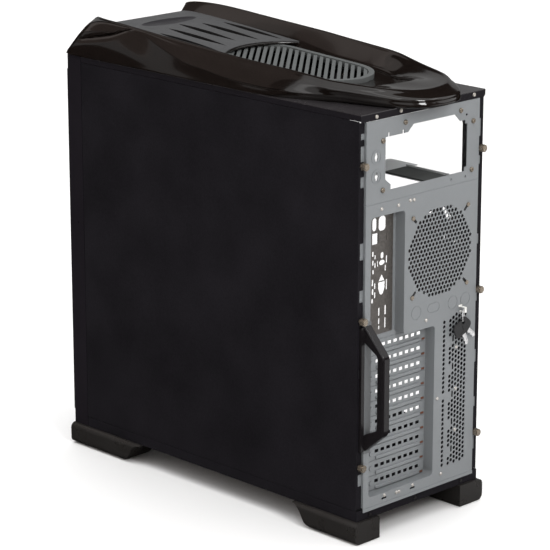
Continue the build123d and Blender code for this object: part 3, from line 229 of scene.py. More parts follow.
g = painted("gloss_black", (0.0080, 0.0058, 0.0050), 0.125, 0.55, var=0.18, fine=60, bump=0.05, bump_d=0.0002, rvar=0.02, cloud=10, coat=0.25, coat_rough=0.04)
M["gloss_black"] = g

f = painted("fan_blades", (0.0125, 0.0052, 0.0056), 0.40, 0.25, var=0.2, fine=1200, bump=0.15, bump_d=0.00006)
M["fan_blades"] = f

lens = painted("lens", (0.55, 0.62, 0.70), 0.15, 0.5, var=0.08, fine=900, bump=0.1, bump_d=0.0001)
lens.set(sss=0.0)
M["lens"] = lens

w = Mat("window").set(rough=0.04, spec=0.35, alpha=0.10)
w.color(w.ramp(w.noise(5.0, 2.0), [(0.3, (0.78, 0.80, 0.82)), (0.7, (0.86, 0.87, 0.88))]))
w.bump(w.noise(9.0, 2.0), 0.05, 0.0006)
M["window"] = w


def along(m, axis, a, b):
    """0 below a and 1 above b along an object axis, in metres."""
    sp = m.node("ShaderNodeSeparateXYZ")
    m.link(m.tc.outputs["Object"], sp.inputs[0])
    return m.maprange(sp.outputs[axis], a, b, 0.0, 1.0)


c_ = M["black_cover"]
# the top face is painted lighter than the side flange as painted sheen, with random tone; the flange also gets a lower
# specular level
top_face_painted_sheen = c_.math("MULTIPLY", along(c_, "Z", 0.5617, 0.5625), c_.maprange(c_.noise(500.0, 2.0), 0.3, 0.7, 0.85, 1.0))
c_.color(c_.ramp(top_face_painted_sheen, [(0.0, (0.0110, 0.0098, 0.0120)), (0.85, (0.0240, 0.0215, 0.0235)), (1.0, (0.0280, 0.0255, 0.0275))]))
c_.link(c_.math("ADD", c_.math("MULTIPLY", along(c_, "Z", 0.5617, 0.5625), 0.70), 0.05), c_.b.inputs["Specular IOR Level"])

h_ = Mat("handle").set(spec=0.4)
cut = h_.math("MAXIMUM", along(h_, "Y", 0.27046, 0.27056), along(h_, "X", 0.10676, 0.10686))
h_.color(h_.ramp(cut, [(0.0, (0.192, 0.204, 0.213)), (1.0, (0.0095, 0.0082, 0.0092))]))
h_.rough(h_.math("ADD", h_.maprange(h_.noise(60.0, 3.0), 0.3, 0.7, 0.16, 0.26), h_.math("MULTIPLY", h_.math("SUBTRACT", 1.0, cut), 0.22)))
h_.bump(h_.noise(1400, 2.0), 0.12, 0.00006)
M["handle"] = h_

n_ = Mat("cover_screw").set(metal=0.5, spec=0.6)
# screws are near black below 0.1 m and plated above 0.2 m, with random tone
cut = along(n_, "Z", 0.1, 0.2)
height_tone = n_.math("MULTIPLY", cut, n_.maprange(n_.noise(700, 3.0), 0.3, 0.7, 0.8, 1.0))
n_.color(n_.ramp(height_tone, [(0.0, (0.018, 0.016, 0.016)), (0.8, (0.40, 0.37, 0.33)), (1.0, (0.62, 0.58, 0.53))]))
n_.rough(n_.maprange(n_.noise(300, 3.0), 0.3, 0.7, 0.24, 0.42))
n_.bump(n_.noise(2100, 2.0), 0.12, 0.00006)
M["cover_screw"] = n_


def dress(obj, key):
    obj.data.materials.clear()
    obj.data.materials.append(M[key].m)


# ---------------------------------------------------------------------------
# Carried-over nodes: finish and softened edges
# ---------------------------------------------------------------------------
FINISH = {
    "gray_steel": ["slot_cover_screws", "rear_panel_upper", "rear_panel_lower", "slot_frame", "slot_covers", "psu_bracket", "motherboard_tray",
                   "front_frame", "drive_cage_left", "drive_cage_right", "hard_drive_cage"],
    "gray_shelf": ["psu_shelf"],
    "black_panel": ["base_tray", "right_side_panel", "left_side_panel"],
    "black_cover": ["top_cover"],
    "port_plate": ["io_shield"],
    "handle": ["right_panel_handle"],
    "cover_screw": ["cover_screws"],
    "nickel": ["chassis_rivets", "foot_screws", "door_hinge_pins"],
    "screw_nickel": ["psu_bracket_screws", "fan_screws", "right_thumbscrews", "left_thumbscrews"],
    "brass": ["motherboard_standoffs"],
    "rubber": ["foot_pads"],
    "shelf_pad": ["psu_pad"],
    "foot_plastic": ["rear_right_foot", "rear_left_foot", "front_right_foot", "front_left_foot"],
    "bezel_plastic": ["front_bezel", "front_door"],
    "black_plastic": ["front_mesh", "bay_covers", "top_port_panel", "rear_fan_frame", "top_fan_frame", "front_fan_frame", "window_rivets"],
    "fan_blades": ["rear_fan_rotor", "top_fan_rotor", "front_fan_rotor"],
    "gloss_black": ["top_fairing"],
    "lid_gray": ["top_lid"],
    "grille_gray": ["top_grille"],
    "steel_bright": ["port_sockets", "door_lock", "key_ring"],
    "lens": ["indicator_lenses"],
    "window": ["left_window"],
    "button_gray": ["power_button", "reset_button"],
    "key_head": ["key_one", "key_two"],
    "white_nylon": ["key_tie"],
}
for key, names in FINISH.items():
    for n in names:
        dress(NODES[n], key)

BEVELS = {
    "right_side_panel": 0.22, "left_side_panel": 0.3, "top_cover": 0.2, "base_tray": 0.4, "front_bezel": 0.8, "front_door": 1.0,
    "rear_right_foot": 1.4, "rear_left_foot": 1.4, "front_right_foot": 1.4, "front_left_foot": 1.4, "right_panel_handle": 0.4,
    "bay_covers": 0.6, "top_grille": 0.7, "power_button": 0.6, "reset_button": 0.5, "door_lock": 0.35, "foot_pads": 0.5,
    "psu_pad": 0.5, "key_tie": 0.25, "psu_shelf": 0.25, "top_port_panel": 0.5, "front_mesh": 0.4, "slot_frame": 0.25,
}
for n, wd in BEVELS.items():
    o = NODES[n]
    wl = o.modifiers.new("weld", "WELD")
    wl.merge_threshold = 0.00001
    bv = o.modifiers.new("bevel", "BEVEL")
    bv.width = wd * MM
    bv.segments = 3
    bv.limit_method = "ANGLE"
    bv.angle_limit = math.radians(35)
    bv.harden_normals = False
    bv.use_clamp_overlap = True


# ---------------------------------------------------------------------------
# Mesh helpers
# ---------------------------------------------------------------------------


def make(name, verts, faces, smooth=True, mats=()):
    me = bpy.data.meshes.new(name)
    me.from_pydata([tuple(x * MM for x in v) for v in verts], [], faces)
    me.validate()
    if smooth:
        for p in me.polygons:
            p.use_smooth = True
    ob = bpy.data.objects.new(name, me)
    scene.collection.objects.link(ob)
    for k in mats:
        me.materials.append(M[k].m)
    return ob


def from_bm(name, bm, mats=(), smooth=True):
    bmesh.ops.recalc_face_normals(bm, faces=bm.faces[:])
    me = bpy.data.meshes.new(name)
    bm.to_mesh(me)
    bm.free()
    if smooth:
        for p in me.polygons:
            p.use_smooth = True
    ob = bpy.data.objects.new(name, me)
    scene.collection.objects.link(ob)
    for k in mats:
        me.materials.append(M[k].m)
    return ob


def apply_mods(ob):
    dg = bpy.context.evaluated_depsgraph_get()
    me = bpy.data.meshes.new_from_object(ob.evaluated_get(dg))
    ob.modifiers.clear()
    old = ob.data
    ob.data = me
    me.name = ob.name
    bpy.data.meshes.remove(old)


def smooth_by_angle(ob, deg):
    """Sharp edges above an angle, smooth below."""
    me = ob.data
    bm = bmesh.new()
    bm.from_mesh(me)
    lim = math.radians(deg)
    for e in bm.edges:
        e.smooth = not (len(e.link_faces) == 2 and e.calc_face_angle(0.0) > lim)
    for fc in bm.faces:
        fc.smooth = True
    bm.to_mesh(me)
    bm.free()


def catmull(pts, sub):
    """Points on a Catmull-Rom curve through pts (n, ...) with sub steps per span."""
    p = np.asarray(pts, float)
    n = len(p)
    out = []
    for i in range(n - 1):
        p0 = p[i - 1] if i > 0 else 2 * p[0] - p[1]
        p1, p2 = p[i], p[i + 1]
        p3 = p[i + 2] if i + 2 < n else 2 * p[n - 1] - p[n - 2]
        for k in range(sub):
            t = k / sub
            out.append(0.5 * ((2 * p1) + (-p0 + p2) * t + (2 * p0 - 5 * p1 + 4 * p2 - p3) * t * t
                              + (-p0 + 3 * p1 - 3 * p2 + p3) * t ** 3))
    out.append(p[-1])
    return np.array(out)


SL = math.atan(12.0 / 235.0)
LID_Z0, LID_Y0, LID_T = 603.6, -265.0, 3.0


def lid_z(y):
    return LID_Z0 - math.tan(SL) * (y - LID_Y0)


# ---------------------------------------------------------------------------
# Top fairing: two rails that meet in a rounded tail, around a long trough.
# Each station runs across the rail: base, low wall, crease, wall, ridge, inner
# wall, foot and floor edge.
# ---------------------------------------------------------------------------
def toward(a, b, d):
    """Point at distance d from a on the way to b."""
    a, b = np.array(a, float), np.array(b, float)
    n = np.linalg.norm(b - a)
    return tuple(a + (b - a) * min(0.45, d / max(n, 1e-6)))


def station(base, low, crease, wall, ridge, inner1, inner2, foot, edge, rc=1.6, rr=4.0):
    """Section points, with the crease held to a small radius."""
    return [base, low, toward(crease, low, rc), crease, toward(crease, wall, rc), wall, toward(ridge, wall, rr), ridge,
            toward(ridge, inner1, rr), inner1, inner2, toward(foot, inner2, 2.5), foot, edge]


ST = []
# y at the base, y at the ridge: base x, low (x, z), crease (x, z), wall (x, z), ridge (x, z);
# the front edge leans back to the tip of the horn
RAIL = [
    (-288.6, -261.5, 114.5, (112.2, 569.5), (105.0, 584.0), (96.0, 598.0), (84.0, 611.3)),
    (-281.0, -256.0, 115.6, (113.3, 574.5), (107.2, 590.0), (98.6, 603.0), (86.5, 612.8)),
    (-270.0, -248.5, 116.0, (113.7, 577.5), (108.4, 594.5), (100.6, 606.4), (89.5, 613.3)),
    (-255.0, -238.5, 116.0, (113.8, 579.5), (108.8, 597.5), (102.0, 608.8), (92.5, 613.5)),
    (-237.0, -226.0, 116.0, (113.8, 580.8), (108.6, 600.0), (102.6, 610.2), (95.0, 613.5)),
    (-212.0, -208.0, 116.0, (113.4, 582.0), (107.4, 602.5), (102.2, 610.6), (96.8, 613.3)),
    (-188.0, -187.0, 116.0, (113.0, 582.0), (105.6, 605.0), (102.0, 610.0), (97.8, 612.4)),
    (-165.0, -165.0, 116.0, (112.6, 581.5), (103.2, 607.0), (101.2, 609.6), (98.4, 611.2)),
    (-142.0, -142.0, 116.0, (112.4, 579.0), (102.4, 605.2), (101.0, 607.8), (98.9, 609.8)),
    (-119.0, -119.0, 116.0, (112.6, 576.5), (105.2, 599.3), (102.6, 604.6), (99.2, 608.4)),
    (-83.0, -83.0, 116.0, (113.4, 573.5), (109.4, 589.9), (105.4, 599.2), (99.6, 606.3)),
    (-47.0, -47.0, 116.0, (114.2, 571.2), (112.0, 582.8), (107.2, 594.6), (100.0, 604.3)),
    (-5.0, -5.0, 116.0, (114.9, 569.2), (113.6, 577.8), (108.2, 591.0), (100.2, 601.9)),
    (33.0, 33.0, 116.0, (115.2, 567.8), (114.2, 574.0), (108.0, 588.4), (98.9, 599.4)),
    (62.0, 62.0, 115.8, (115.2, 567.2), (114.0, 572.8), (107.0, 586.8), (97.3, 597.8)),
    (91.0, 91.0, 113.6, (113.6, 566.8), (112.6, 571.8), (105.0, 585.6), (95.6, 596.3)),
    (117.0, 117.0, 108.6, (109.0, 566.6), (108.6, 571.5), (102.4, 584.6), (93.6, 595.1)),
]
for yb, y, bx, lw, cr, wl, rd in RAIL:
    t = min(1.0, max(0.0, (y + 70) / 120.0))       # the ledge of the lid fades into the floor
    t = t * t * (3 - 2 * t)
    f = min(1.0, max(0.0, (y + 280.0) / 40.0))     # the horn draws in at the front
    zl = lid_z(y)
    fx = (69.0 + 7.0 * f) * (1 - t) + 71.5 * t
    fz = zl - 4.0 - t * 7.0 - (1 - f) * 1.5
    ex, ez = 60 + t * 6.0, zl - 12.5
    rx, rz = rd
    lean = [yb + (y - yb) * k for k in (0.08, 0.42, 0.74)]
    ST.append(station((bx, yb, 563.3), (lw[0], lean[0], lw[1]), (cr[0], lean[1], cr[1]), (wl[0], lean[2], wl[1]), (rx, y, rz),
                      (rx - 0.42 * (rx - fx), y, rz - 0.46 * (rz - fz)), (rx - 0.80 * (rx - fx), y, rz - 0.86 * (rz - fz)),
                      (fx, y, fz), (ex, y, ez), rr=2.0 if y < -240 else (3.2 if y < -200 else 4.2)))
# tail: the rails widen into a flat dome, and the trough narrows and rises to a
# blunt end between them
FLOOR_Y = [-300.0, 120.0, 138.0, 158.0, 176.0, 192.0, 206.0, 218.0, 228.0, 236.0, 241.0]


def floor_z(y):
    """Height of the floor of the trough."""
    zs = [lid_z(-300.0) - 12.5, lid_z(120.0) - 12.5, 570.5, 569.9, 571.0, 573.3, 575.9, 578.2, 580.3, 582.0, 582.9]
    return float(np.interp(y, FLOOR_Y, zs))


TAIL = [
    # base              widest line        wall               ridge              valley            edge of the floor
    ((101.0, 141, 563.3), (101.8, 142, 571.2), (97.8, 141, 583.6), (91.5, 139, 593.4), (68.0, 138, 572.0), (64.0, 138)),
    ((90.5, 165, 563.3), (92.8, 166, 571.0), (91.2, 165, 581.8), (86.5, 163, 590.6), (61.0, 158, 571.2), (57.0, 158)),
    ((81.0, 186, 563.3), (85.2, 187, 571.4), (85.6, 187, 580.0), (81.6, 185, 588.0), (53.0, 176, 572.2), (49.0, 176)),
    ((73.0, 206, 563.3), (78.2, 208, 571.0), (79.2, 208, 579.2), (75.6, 205, 586.8), (46.0, 192, 574.4), (42.0, 192)),
    ((65.5, 228, 563.3), (71.2, 231, 570.2), (72.2, 231, 578.2), (69.2, 226, 585.8), (39.5, 206, 576.9), (36.0, 206)),
    ((57.0, 250, 563.4), (63.2, 254.5, 569.2), (63.8, 254, 577.0), (61.0, 247, 584.6), (33.5, 218, 579.1), (30.5, 218)),
    ((45.0, 271, 563.6), (51.2, 279, 568.2), (51.0, 278, 575.6), (47.5, 265, 583.0), (27.5, 228, 581.0), (25.0, 228)),
    ((26.5, 286, 563.8), (30.0, 298.5, 567.5), (29.2, 296, 574.2), (26.0, 279, 581.4), (19.0, 236, 582.6), (17.0, 236)),
    ((0.0, 291, 563.9), (0.0, 305.2, 567.2), (0.0, 302, 573.6), (0.0, 283, 580.6), (0.0, 241.5, 583.3), (0.0, 240.5)),
]
for k, (bs, cr, wl, rd, f3, eg) in enumerate(TAIL):
    t = (k + 1) / len(TAIL)
    e3 = (eg[0], eg[1], floor_z(eg[1]))
    lw = tuple(bs[i] + (cr[i] - bs[i]) * 0.70 for i in range(2)) + (bs[2] + (cr[2] - bs[2]) * 0.42,)
    hold = 0.10 + 0.16 * t - 0.26 * t * t                          # the crown stays high before it dips
    i1 = tuple(rd[i] + (f3[i] - rd[i]) * 0.42 for i in range(2)) + (rd[2] + (f3[2] - rd[2]) * (0.44 - hold),)
    i2 = tuple(rd[i] + (f3[i] - rd[i]) * 0.80 for i in range(2)) + (rd[2] + (f3[2] - rd[2]) * (0.86 - hold * 0.6),)
    ST.append(station(bs, lw, cr, wl, rd, i1, i2, f3, e3, rc=2.0 + 2.6 * t, rr=4.2 + 3.5 * t))

right_half = np.array(ST)                                  # (n, 14, 3)
left_half = right_half[::-1][1:].copy()
left_half[:, :, 0] *= -1
full = np.concatenate([right_half, left_half])
SUB_U, SUB_V = 6, 8
fine_u = catmull(full, SUB_U)                              # along the rails
grid = np.stack([catmull(row, SUB_V) for row in fine_u])   # across
nu, nv = grid.shape[:2]

# finger scoop on the outside of each front horn: a leaf-shaped hollow with a
# sharp upper lip and a soft lower one
yy, zz = grid[:, :, 1], grid[:, :, 2]
z_up = np.interp(yy, [-268, -248, -180, -166], [586.0, 593.0, 608.6, 611.0])
z_lo = np.interp(yy, [-268, -258, -208, -171, -164], [578.5, 580.5, 591.0, 605.0, 608.5])
along_y = np.clip((yy + 268.0) / 103.0, 0, 1)
span = np.sin(np.pi * along_y) ** 0.6
wv = np.clip((z_up - zz) / np.maximum(z_up - z_lo, 1.0), 0, 1)
hollow = np.clip(wv / 0.16, 0, 1) * (1 - wv) ** 1.2 * span
outer = np.zeros((nu, nv))
outer[:, : 7 * SUB_V] = 1.0
grid[:, :, 0] -= np.sign(grid[:, :, 0]) * outer * 6.5 * hollow

verts = grid.reshape(-1, 3).tolist()
faces = []
for i in range(nu - 1):
    for j in range(nv - 1):
        a = i * nv + j
        faces.append((a, a + nv, a + nv + 1, a + 1))
# front faces of the two horns, down to the bezel
for s, i in ((1, 0), (-1, nu - 1)):
    base0 = len(verts)
    for j in range(nv):
        p = grid[i, j]
        verts.append((p[0], -288.9, 563.3))
    for j in range(nv - 1):
        a, b = i * nv + j, base0 + j
        q = (a, a + 1, b + 1, b)
        faces.append(q if s > 0 else q[::-1])
fairing = make("top_fairing_shell", verts, faces, True, ["gloss_black"])
bm = bmesh.new()
bm.from_mesh(fairing.data)
bmesh.ops.remove_doubles(bm, verts=bm.verts[:], dist=0.00001)
bmesh.ops.recalc_face_normals(bm, faces=bm.faces[:])
bm.to_mesh(fairing.data)
bm.free()
smooth_by_angle(fairing, 50)
sd = fairing.modifiers.new("wall", "SOLIDIFY")
sd.thickness = 2.2 * MM
sd.offset = -1.0
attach(fairing, "chassis")
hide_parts("top_fairing")

# closed underside of the tail, behind the steel cover
us = [tuple(p) for p in grid[:, 0] if p[1] > 180.0]
uv, uf = [], []
for x, y, z in us:
    uv.append((x, y, z))
for x, y, z in us:
    uv.append((x * 0.96, 181.0 + (y - 181.0) * 0.96, z + 1.6))
nb = len(us)
for k in range(nb // 2):
    a, b = k, nb - 1 - k
    if a + 1 < b - 1:
        uf.append((a, a + 1, b - 1, b))
under = make("top_fairing_sole", uv[:nb], uf, False, ["gloss_black"])
sd = under.modifiers.new("wall", "SOLIDIFY")
sd.thickness = 1.6 * MM
sd.offset = 0.0
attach(under, "chassis")

# front apron of the fairing, below the lid's front edge
ap_v, ap_f = [], []
nx, nz = 40, 14
ap = catmull([(-288.9, 563.3), (-287.0, 576.0), (-281.0, 587.0), (-270.0, 595.5), (-251.0, 599.6)], 4)
nz = len(ap)
prof_y, prof_z = ap[:, 0], ap[:, 1]
for k in range(nz):
    for i in range(nx + 1):
        half = 67.0 + 7.5 * k / (nz - 1)
        x = half * (2.0 * i / nx - 1.0)
        bow = (x / half) ** 2
        ap_v.append((x, prof_y[k] - 1.2 * (1 - bow) * math.sin(math.pi * k / (nz - 1)), prof_z[k]))
for k in range(nz - 1):
    for i in range(nx):
        a = k * (nx + 1) + i
        ap_f.append((a, a + 1, a + nx + 2, a + nx + 1))
apron = make("top_fairing_apron", ap_v, ap_f, True, ["gloss_black"])
sd = apron.modifiers.new("wall", "SOLIDIFY")
sd.thickness = 2.0 * MM
sd.offset = 1.0
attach(apron, "chassis")

# floor of the trough, open under the grille and around the port panel
edge_idx = nv - 1
edge = [tuple(p) for p in grid[:, edge_idx]]
bm = bmesh.new()


def loop_edges(pts):
    vs = [bm.verts.new((x * MM, y * MM, 0.0)) for x, y in pts]
    return [bm.edges.new((vs[k], vs[(k + 1) % len(vs)])) for k in range(len(vs))]


es = loop_edges([(p[0], p[1]) for p in edge])
GR_Y0, GR_Y1, GR_W = -72.0, 161.0, 57.0
hw = GR_W - 7.0
st_pts = [(hw * math.cos(a), GR_Y1 - GR_W + hw * math.sin(a)) for a in np.linspace(0, math.pi, 40)]
st_pts += [(hw * math.cos(a), GR_Y0 + GR_W + hw * math.sin(a)) for a in np.linspace(math.pi, 2 * math.pi, 40)]
es += loop_edges(st_pts)
es += loop_edges([(-52.3, -215.3), (52.3, -215.3), (52.3, -164.7), (-52.3, -164.7)])
bmesh.ops.triangle_fill(bm, use_beauty=True, use_dissolve=False, edges=es)
for k in range(130, 241, 6):
    bmesh.ops.bisect_plane(bm, geom=bm.verts[:] + bm.edges[:] + bm.faces[:], plane_co=(0, k * MM, 0), plane_no=(0, 1, 0))
for v in bm.verts:
    v.co.z = floor_z(v.co.y / MM) * MM
floor_plate = from_bm("top_fairing_floor", bm, ["gloss_black"], smooth=False)
sd = floor_plate.modifiers.new("wall", "SOLIDIFY")
sd.thickness = 2.0 * MM
sd.offset = 0.0
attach(floor_plate, "chassis")

# ---------------------------------------------------------------------------
# Sliding lid: satin plate with a finger hollow, five leaf-shaped slits and a
# hollow rear edge with a dark lip; the hollow and the slit walls are painted dark as painted shade
# ---------------------------------------------------------------------------
LID_M = Matrix.Translation(Vector((0, LID_Y0 * MM, LID_Z0 * MM))) @ Matrix.Rotation(-SL, 4, "X")


def lid_arc(n, half=71.0, drop=27.0, edge=241.0):
    """Points on the hollow rear edge, from right to left."""
    r = (half ** 2 + drop ** 2) / (2 * drop)
    cy = edge - drop + r
    a = math.asin(half / r)
    return [(r * math.sin(t), cy - r * math.cos(t)) for t in np.linspace(a, -a, n)], r, cy, a


def lid_outline():
    side = [(65.0 + 7.0 * math.sin(t), 36.0 - 20.0 * math.cos(t)) for t in np.linspace(0.0, math.pi / 2, 12)]
    arc = lid_arc(44)[0]
    return side + arc + [(-x, y) for x, y in side[::-1]]


def camber(s_):
    """The lid's upper face rises a little over its plane towards the front."""
    return float(np.interp(s_, [16, 60, 100, 150, 205, 241], [2.6, 3.2, 3.0, 2.0, 0.8, 0.0]))


def prism(pts, z0, z1):
    b = bmesh.new()
    lo = [b.verts.new((x * MM, y * MM, z0 * MM)) for x, y in pts]
    hi = [b.verts.new((x * MM, y * MM, z1 * MM)) for x, y in pts]
    b.faces.new(lo[::-1])
    b.faces.new(hi)
    n = len(pts)
    for k in range(n):
        b.faces.new((lo[k], lo[(k + 1) % n], hi[(k + 1) % n], hi[k]))
    return b


def leaf(xc, s0, s1, w, skew=0.0):
    """Slit with pointed ends, fuller towards the rear."""
    pts = []
    n = 26
    for k in range(n + 1):
        t = k / n
        wd = w * (math.sin(math.pi * t ** 0.85)) ** 0.9
        pts.append((xc + skew * (t - 0.5) + wd / 2, s0 + (s1 - s0) * t))
    for k in range(n - 1, 0, -1):
        t = k / n
        wd = w * (math.sin(math.pi * t ** 0.85)) ** 0.9
        pts.append((xc + skew * (t - 0.5) - wd / 2, s0 + (s1 - s0) * t))
    return pts


lid = from_bm("top_lid_plate", prism(lid_outline(), -LID_T, 0.0), ["lid_gray", "black_plastic", "lid_hollow_painted_shade"], smooth=False)
cutters = []
for xc, s0, s1 in ((0.0, 77.0, 191.0), (30.3, 91.5, 205.0), (-30.3, 91.5, 205.0), (59.3, 104.0, 219.0), (-59.3, 104.0, 219.0)):
    cutters.append(from_bm("slit_cutter", prism(leaf(xc, s0, s1, 11.6 if abs(xc) < 50 else 11.0), -10.0, 6.0), ["black_plastic"]))
bs = bmesh.new()
bmesh.ops.create_uvsphere(bs, u_segments=64, v_segments=32, radius=1.0)
bmesh.ops.scale(bs, vec=(49.0 * MM, 15.2 * MM, 2.8 * MM), verts=bs.verts[:])
bmesh.ops.translate(bs, vec=(0, 57.5 * MM, 0.30 * MM), verts=bs.verts[:])
cutters.append(from_bm("hollow_cutter", bs, ["lid_hollow_painted_shade"]))
for c in cutters:
    md = lid.modifiers.new("cut", "BOOLEAN")
    md.operation = "DIFFERENCE"
    md.solver = "EXACT"
    md.material_mode = "TRANSFER"
    md.object = c
bpy.context.view_layer.update()
apply_mods(lid)
for c in cutters:
    bpy.data.objects.remove(c)
bm = bmesh.new()
bm.from_mesh(lid.data)
# faces of the finger hollow get the darker lid paint as painted shade
for fc in bm.faces:
    c = fc.calc_center_median() / MM
    if (c.x / 49.5) ** 2 + ((c.y - 57.5) / 15.6) ** 2 < 1.0 and -2.9 < c.z < -0.03:
        fc.material_index = 2
    # the side walls of the slits get the black plastic as painted shade
    elif abs(fc.normal.z) < 0.5 and 74.0 < c.y < 222.0 and abs(c.x) < 66.5:
        fc.material_index = 1
    else:
        fc.material_index = 0
for k in range(24, 240, 9):
    bmesh.ops.bisect_plane(bm, geom=bm.verts[:] + bm.edges[:] + bm.faces[:], plane_co=(0, k * MM, 0), plane_no=(0, 1, 0))
for v in bm.verts:
    v.co.z += camber(v.co.y / MM) * MM
bm.to_mesh(lid.data)
bm.free()
lid.data.transform(LID_M)
smooth_by_angle(lid, 28)
bv = lid.modifiers.new("bevel", "BEVEL")
bv.width = 0.5 * MM
bv.segments = 2
bv.limit_method = "ANGLE"
bv.angle_limit = math.radians(50)
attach(lid, "lid")
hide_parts("top_lid")

# dark lip under the lid's hollow rear edge
arc_pts, r, cy, a_half = lid_arc(2, half=69.5, drop=25.8, edge=239.8)
lv, lf = [], []
angs = np.linspace(a_half, -a_half, 48)
sec = [(0.0, -0.9), (-0.7, -1.6), (-0.9, -3.2), (0.0, -4.1), (3.0, -4.1), (3.0, -1.0)]
for a in angs:
    for dr, z in sec:
        rr = r + dr
        lv.append((rr * math.sin(a), cy - rr * math.cos(a), z))
ns = len(sec)
for i in range(len(angs) - 1):
    for j in range(ns):
        a, b = i * ns + j, i * ns + (j + 1) % ns
        lf.append((a, a + ns, b + ns, b))
lf.append(tuple(range(ns)))
lf.append(tuple((len(angs) - 1) * ns + j for j in range(ns - 1, -1, -1)))
lip_ob = make("top_lid_lip", lv, lf, True, ["gloss_black"])
lip_ob.data.transform(LID_M)
smooth_by_angle(lip_ob, 60)
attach(lip_ob, "lid")

# ---------------------------------------------------------------------------
# Fan rotors: domed hub and seven swept blades
# ---------------------------------------------------------------------------


def rotor(name, node, body, origin, xdir, zdir, hand, phase=0.0):
    z = Vector(zdir).normalized()
    x = Vector(xdir).normalized()
    y = z.cross(x)
    place = Matrix((x, y, z)).transposed().to_4x4()
    place.translation = Vector(origin) * MM
    v, fc = [], []
    # hub: turned profile with a shallow cap
    prof = [(0.0, 2.6), (8.0, 2.5), (15.5, 2.5), (17.6, 2.9), (18.7, 4.0), (19.0, 5.4), (19.0, 20.4), (18.4, 21.0), (0.0, 21.0)]
    seg = 64
    for rr, zz_ in prof:
        for k in range(seg):
            a = 2 * math.pi * k / seg
            v.append((rr * math.cos(a), rr * math.sin(a), zz_))
    for i in range(len(prof) - 1):
        for k in range(seg):
            a, b = i * seg + k, i * seg + (k + 1) % seg
            fc.append((a, b, b + seg, a + seg))
    nr, nc = 14, 10
    for blade in range(7):
        base_i = len(v)
        a0 = 2 * math.pi * (blade + phase) / 7
        for side in (1, -1):
            for i in range(nr + 1):
                t = i / nr
                rr = 18.2 + (56.3 - 18.2) * t
                sweep = math.radians(26) * t ** 1.3 * hand
                chord = math.radians(float(np.interp(t, [0, 0.3, 0.6, 0.75, 0.88, 1.0], [76, 88, 80, 66, 46, 30])))
                rise = 15.5 - 2.5 * t
                for j in range(nc + 1):
                    u = j / nc
                    ang = a0 + sweep + hand * (u - 0.5) * chord * (1.0 if t > 0.04 else 0.9)
                    camber = 1.6 * math.sin(math.pi * u)
                    zc = 11.6 - rise * (u - 0.5) + camber * (-1)
                    thick = 0.25 + 1.1 * math.sin(math.pi * min(1.0, u * 0.92 + 0.06)) * (1.15 - 0.45 * t)
                    v.append((rr * math.cos(ang), rr * math.sin(ang), zc + side * thick / 2))
        w_ = nc + 1
        half = (nr + 1) * w_
        for i in range(nr):
            for j in range(nc):
                a = base_i + i * w_ + j
                fc.append((a, a + 1, a + w_ + 1, a + w_))
                b = a + half
                fc.append((b, b + w_, b + w_ + 1, b + 1))
        rim = [i * w_ for i in range(nr + 1)] + [nr * w_ + j for j in range(1, nc + 1)] + [i * w_ + nc for i in range(nr - 1, -1, -1)] \
            + [j for j in range(nc - 1, 0, -1)]
        for k in range(len(rim)):
            a, b = base_i + rim[k], base_i + rim[(k + 1) % len(rim)]
            fc.append((a, a + half, b + half, b))
    ob = make(name, v, fc, True, ["fan_blades"])
    b = bmesh.new()
    b.from_mesh(ob.data)
    bmesh.ops.remove_doubles(b, verts=b.verts[:], dist=0.000002)
    bmesh.ops.recalc_face_normals(b, faces=b.faces[:])
    b.to_mesh(ob.data)
    b.free()
    ob.data.transform(place)
    smooth_by_angle(ob, 40)
    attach(ob, body)
    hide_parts(node)
    return ob


rotor("rear_fan_impeller", "rear_fan_rotor", "rear_fan", (-34.0, 268.0, 362.6), (1, 0, 0), (0, -1, 0), -1, 0.35)
rotor("top_fan_impeller", "top_fan_rotor", "top_fan", (0.0, 25.0, 562.0), (1, 0, 0), (0, 0, -1), 1)
rotor("front_fan_impeller", "front_fan_rotor", "front_fan", (0.0, -257.5, 135.0), (1, 0, 0), (0, 1, 0), 1)

# ---------------------------------------------------------------------------
# Keys: moulded head and cut blade
# ---------------------------------------------------------------------------


def rounded_rect(cx, cy, w, hgt, r, n=8):
    pts = []
    for sx, sy, a in ((1, 1, 0), (-1, 1, 90), (-1, -1, 180), (1, -1, 270)):
        for k in range(n + 1):
            t = math.radians(a + 90 * k / n)
            pts.append((cx + sx * (w / 2 - r) + r * math.cos(t), cy + sy * (hgt / 2 - r) + r * math.sin(t)))
    return pts


RING_X, RING_Y, RING_Z, RING_R, SKEW = -75.0, 275.0, 276.6, 8.0, math.radians(35)


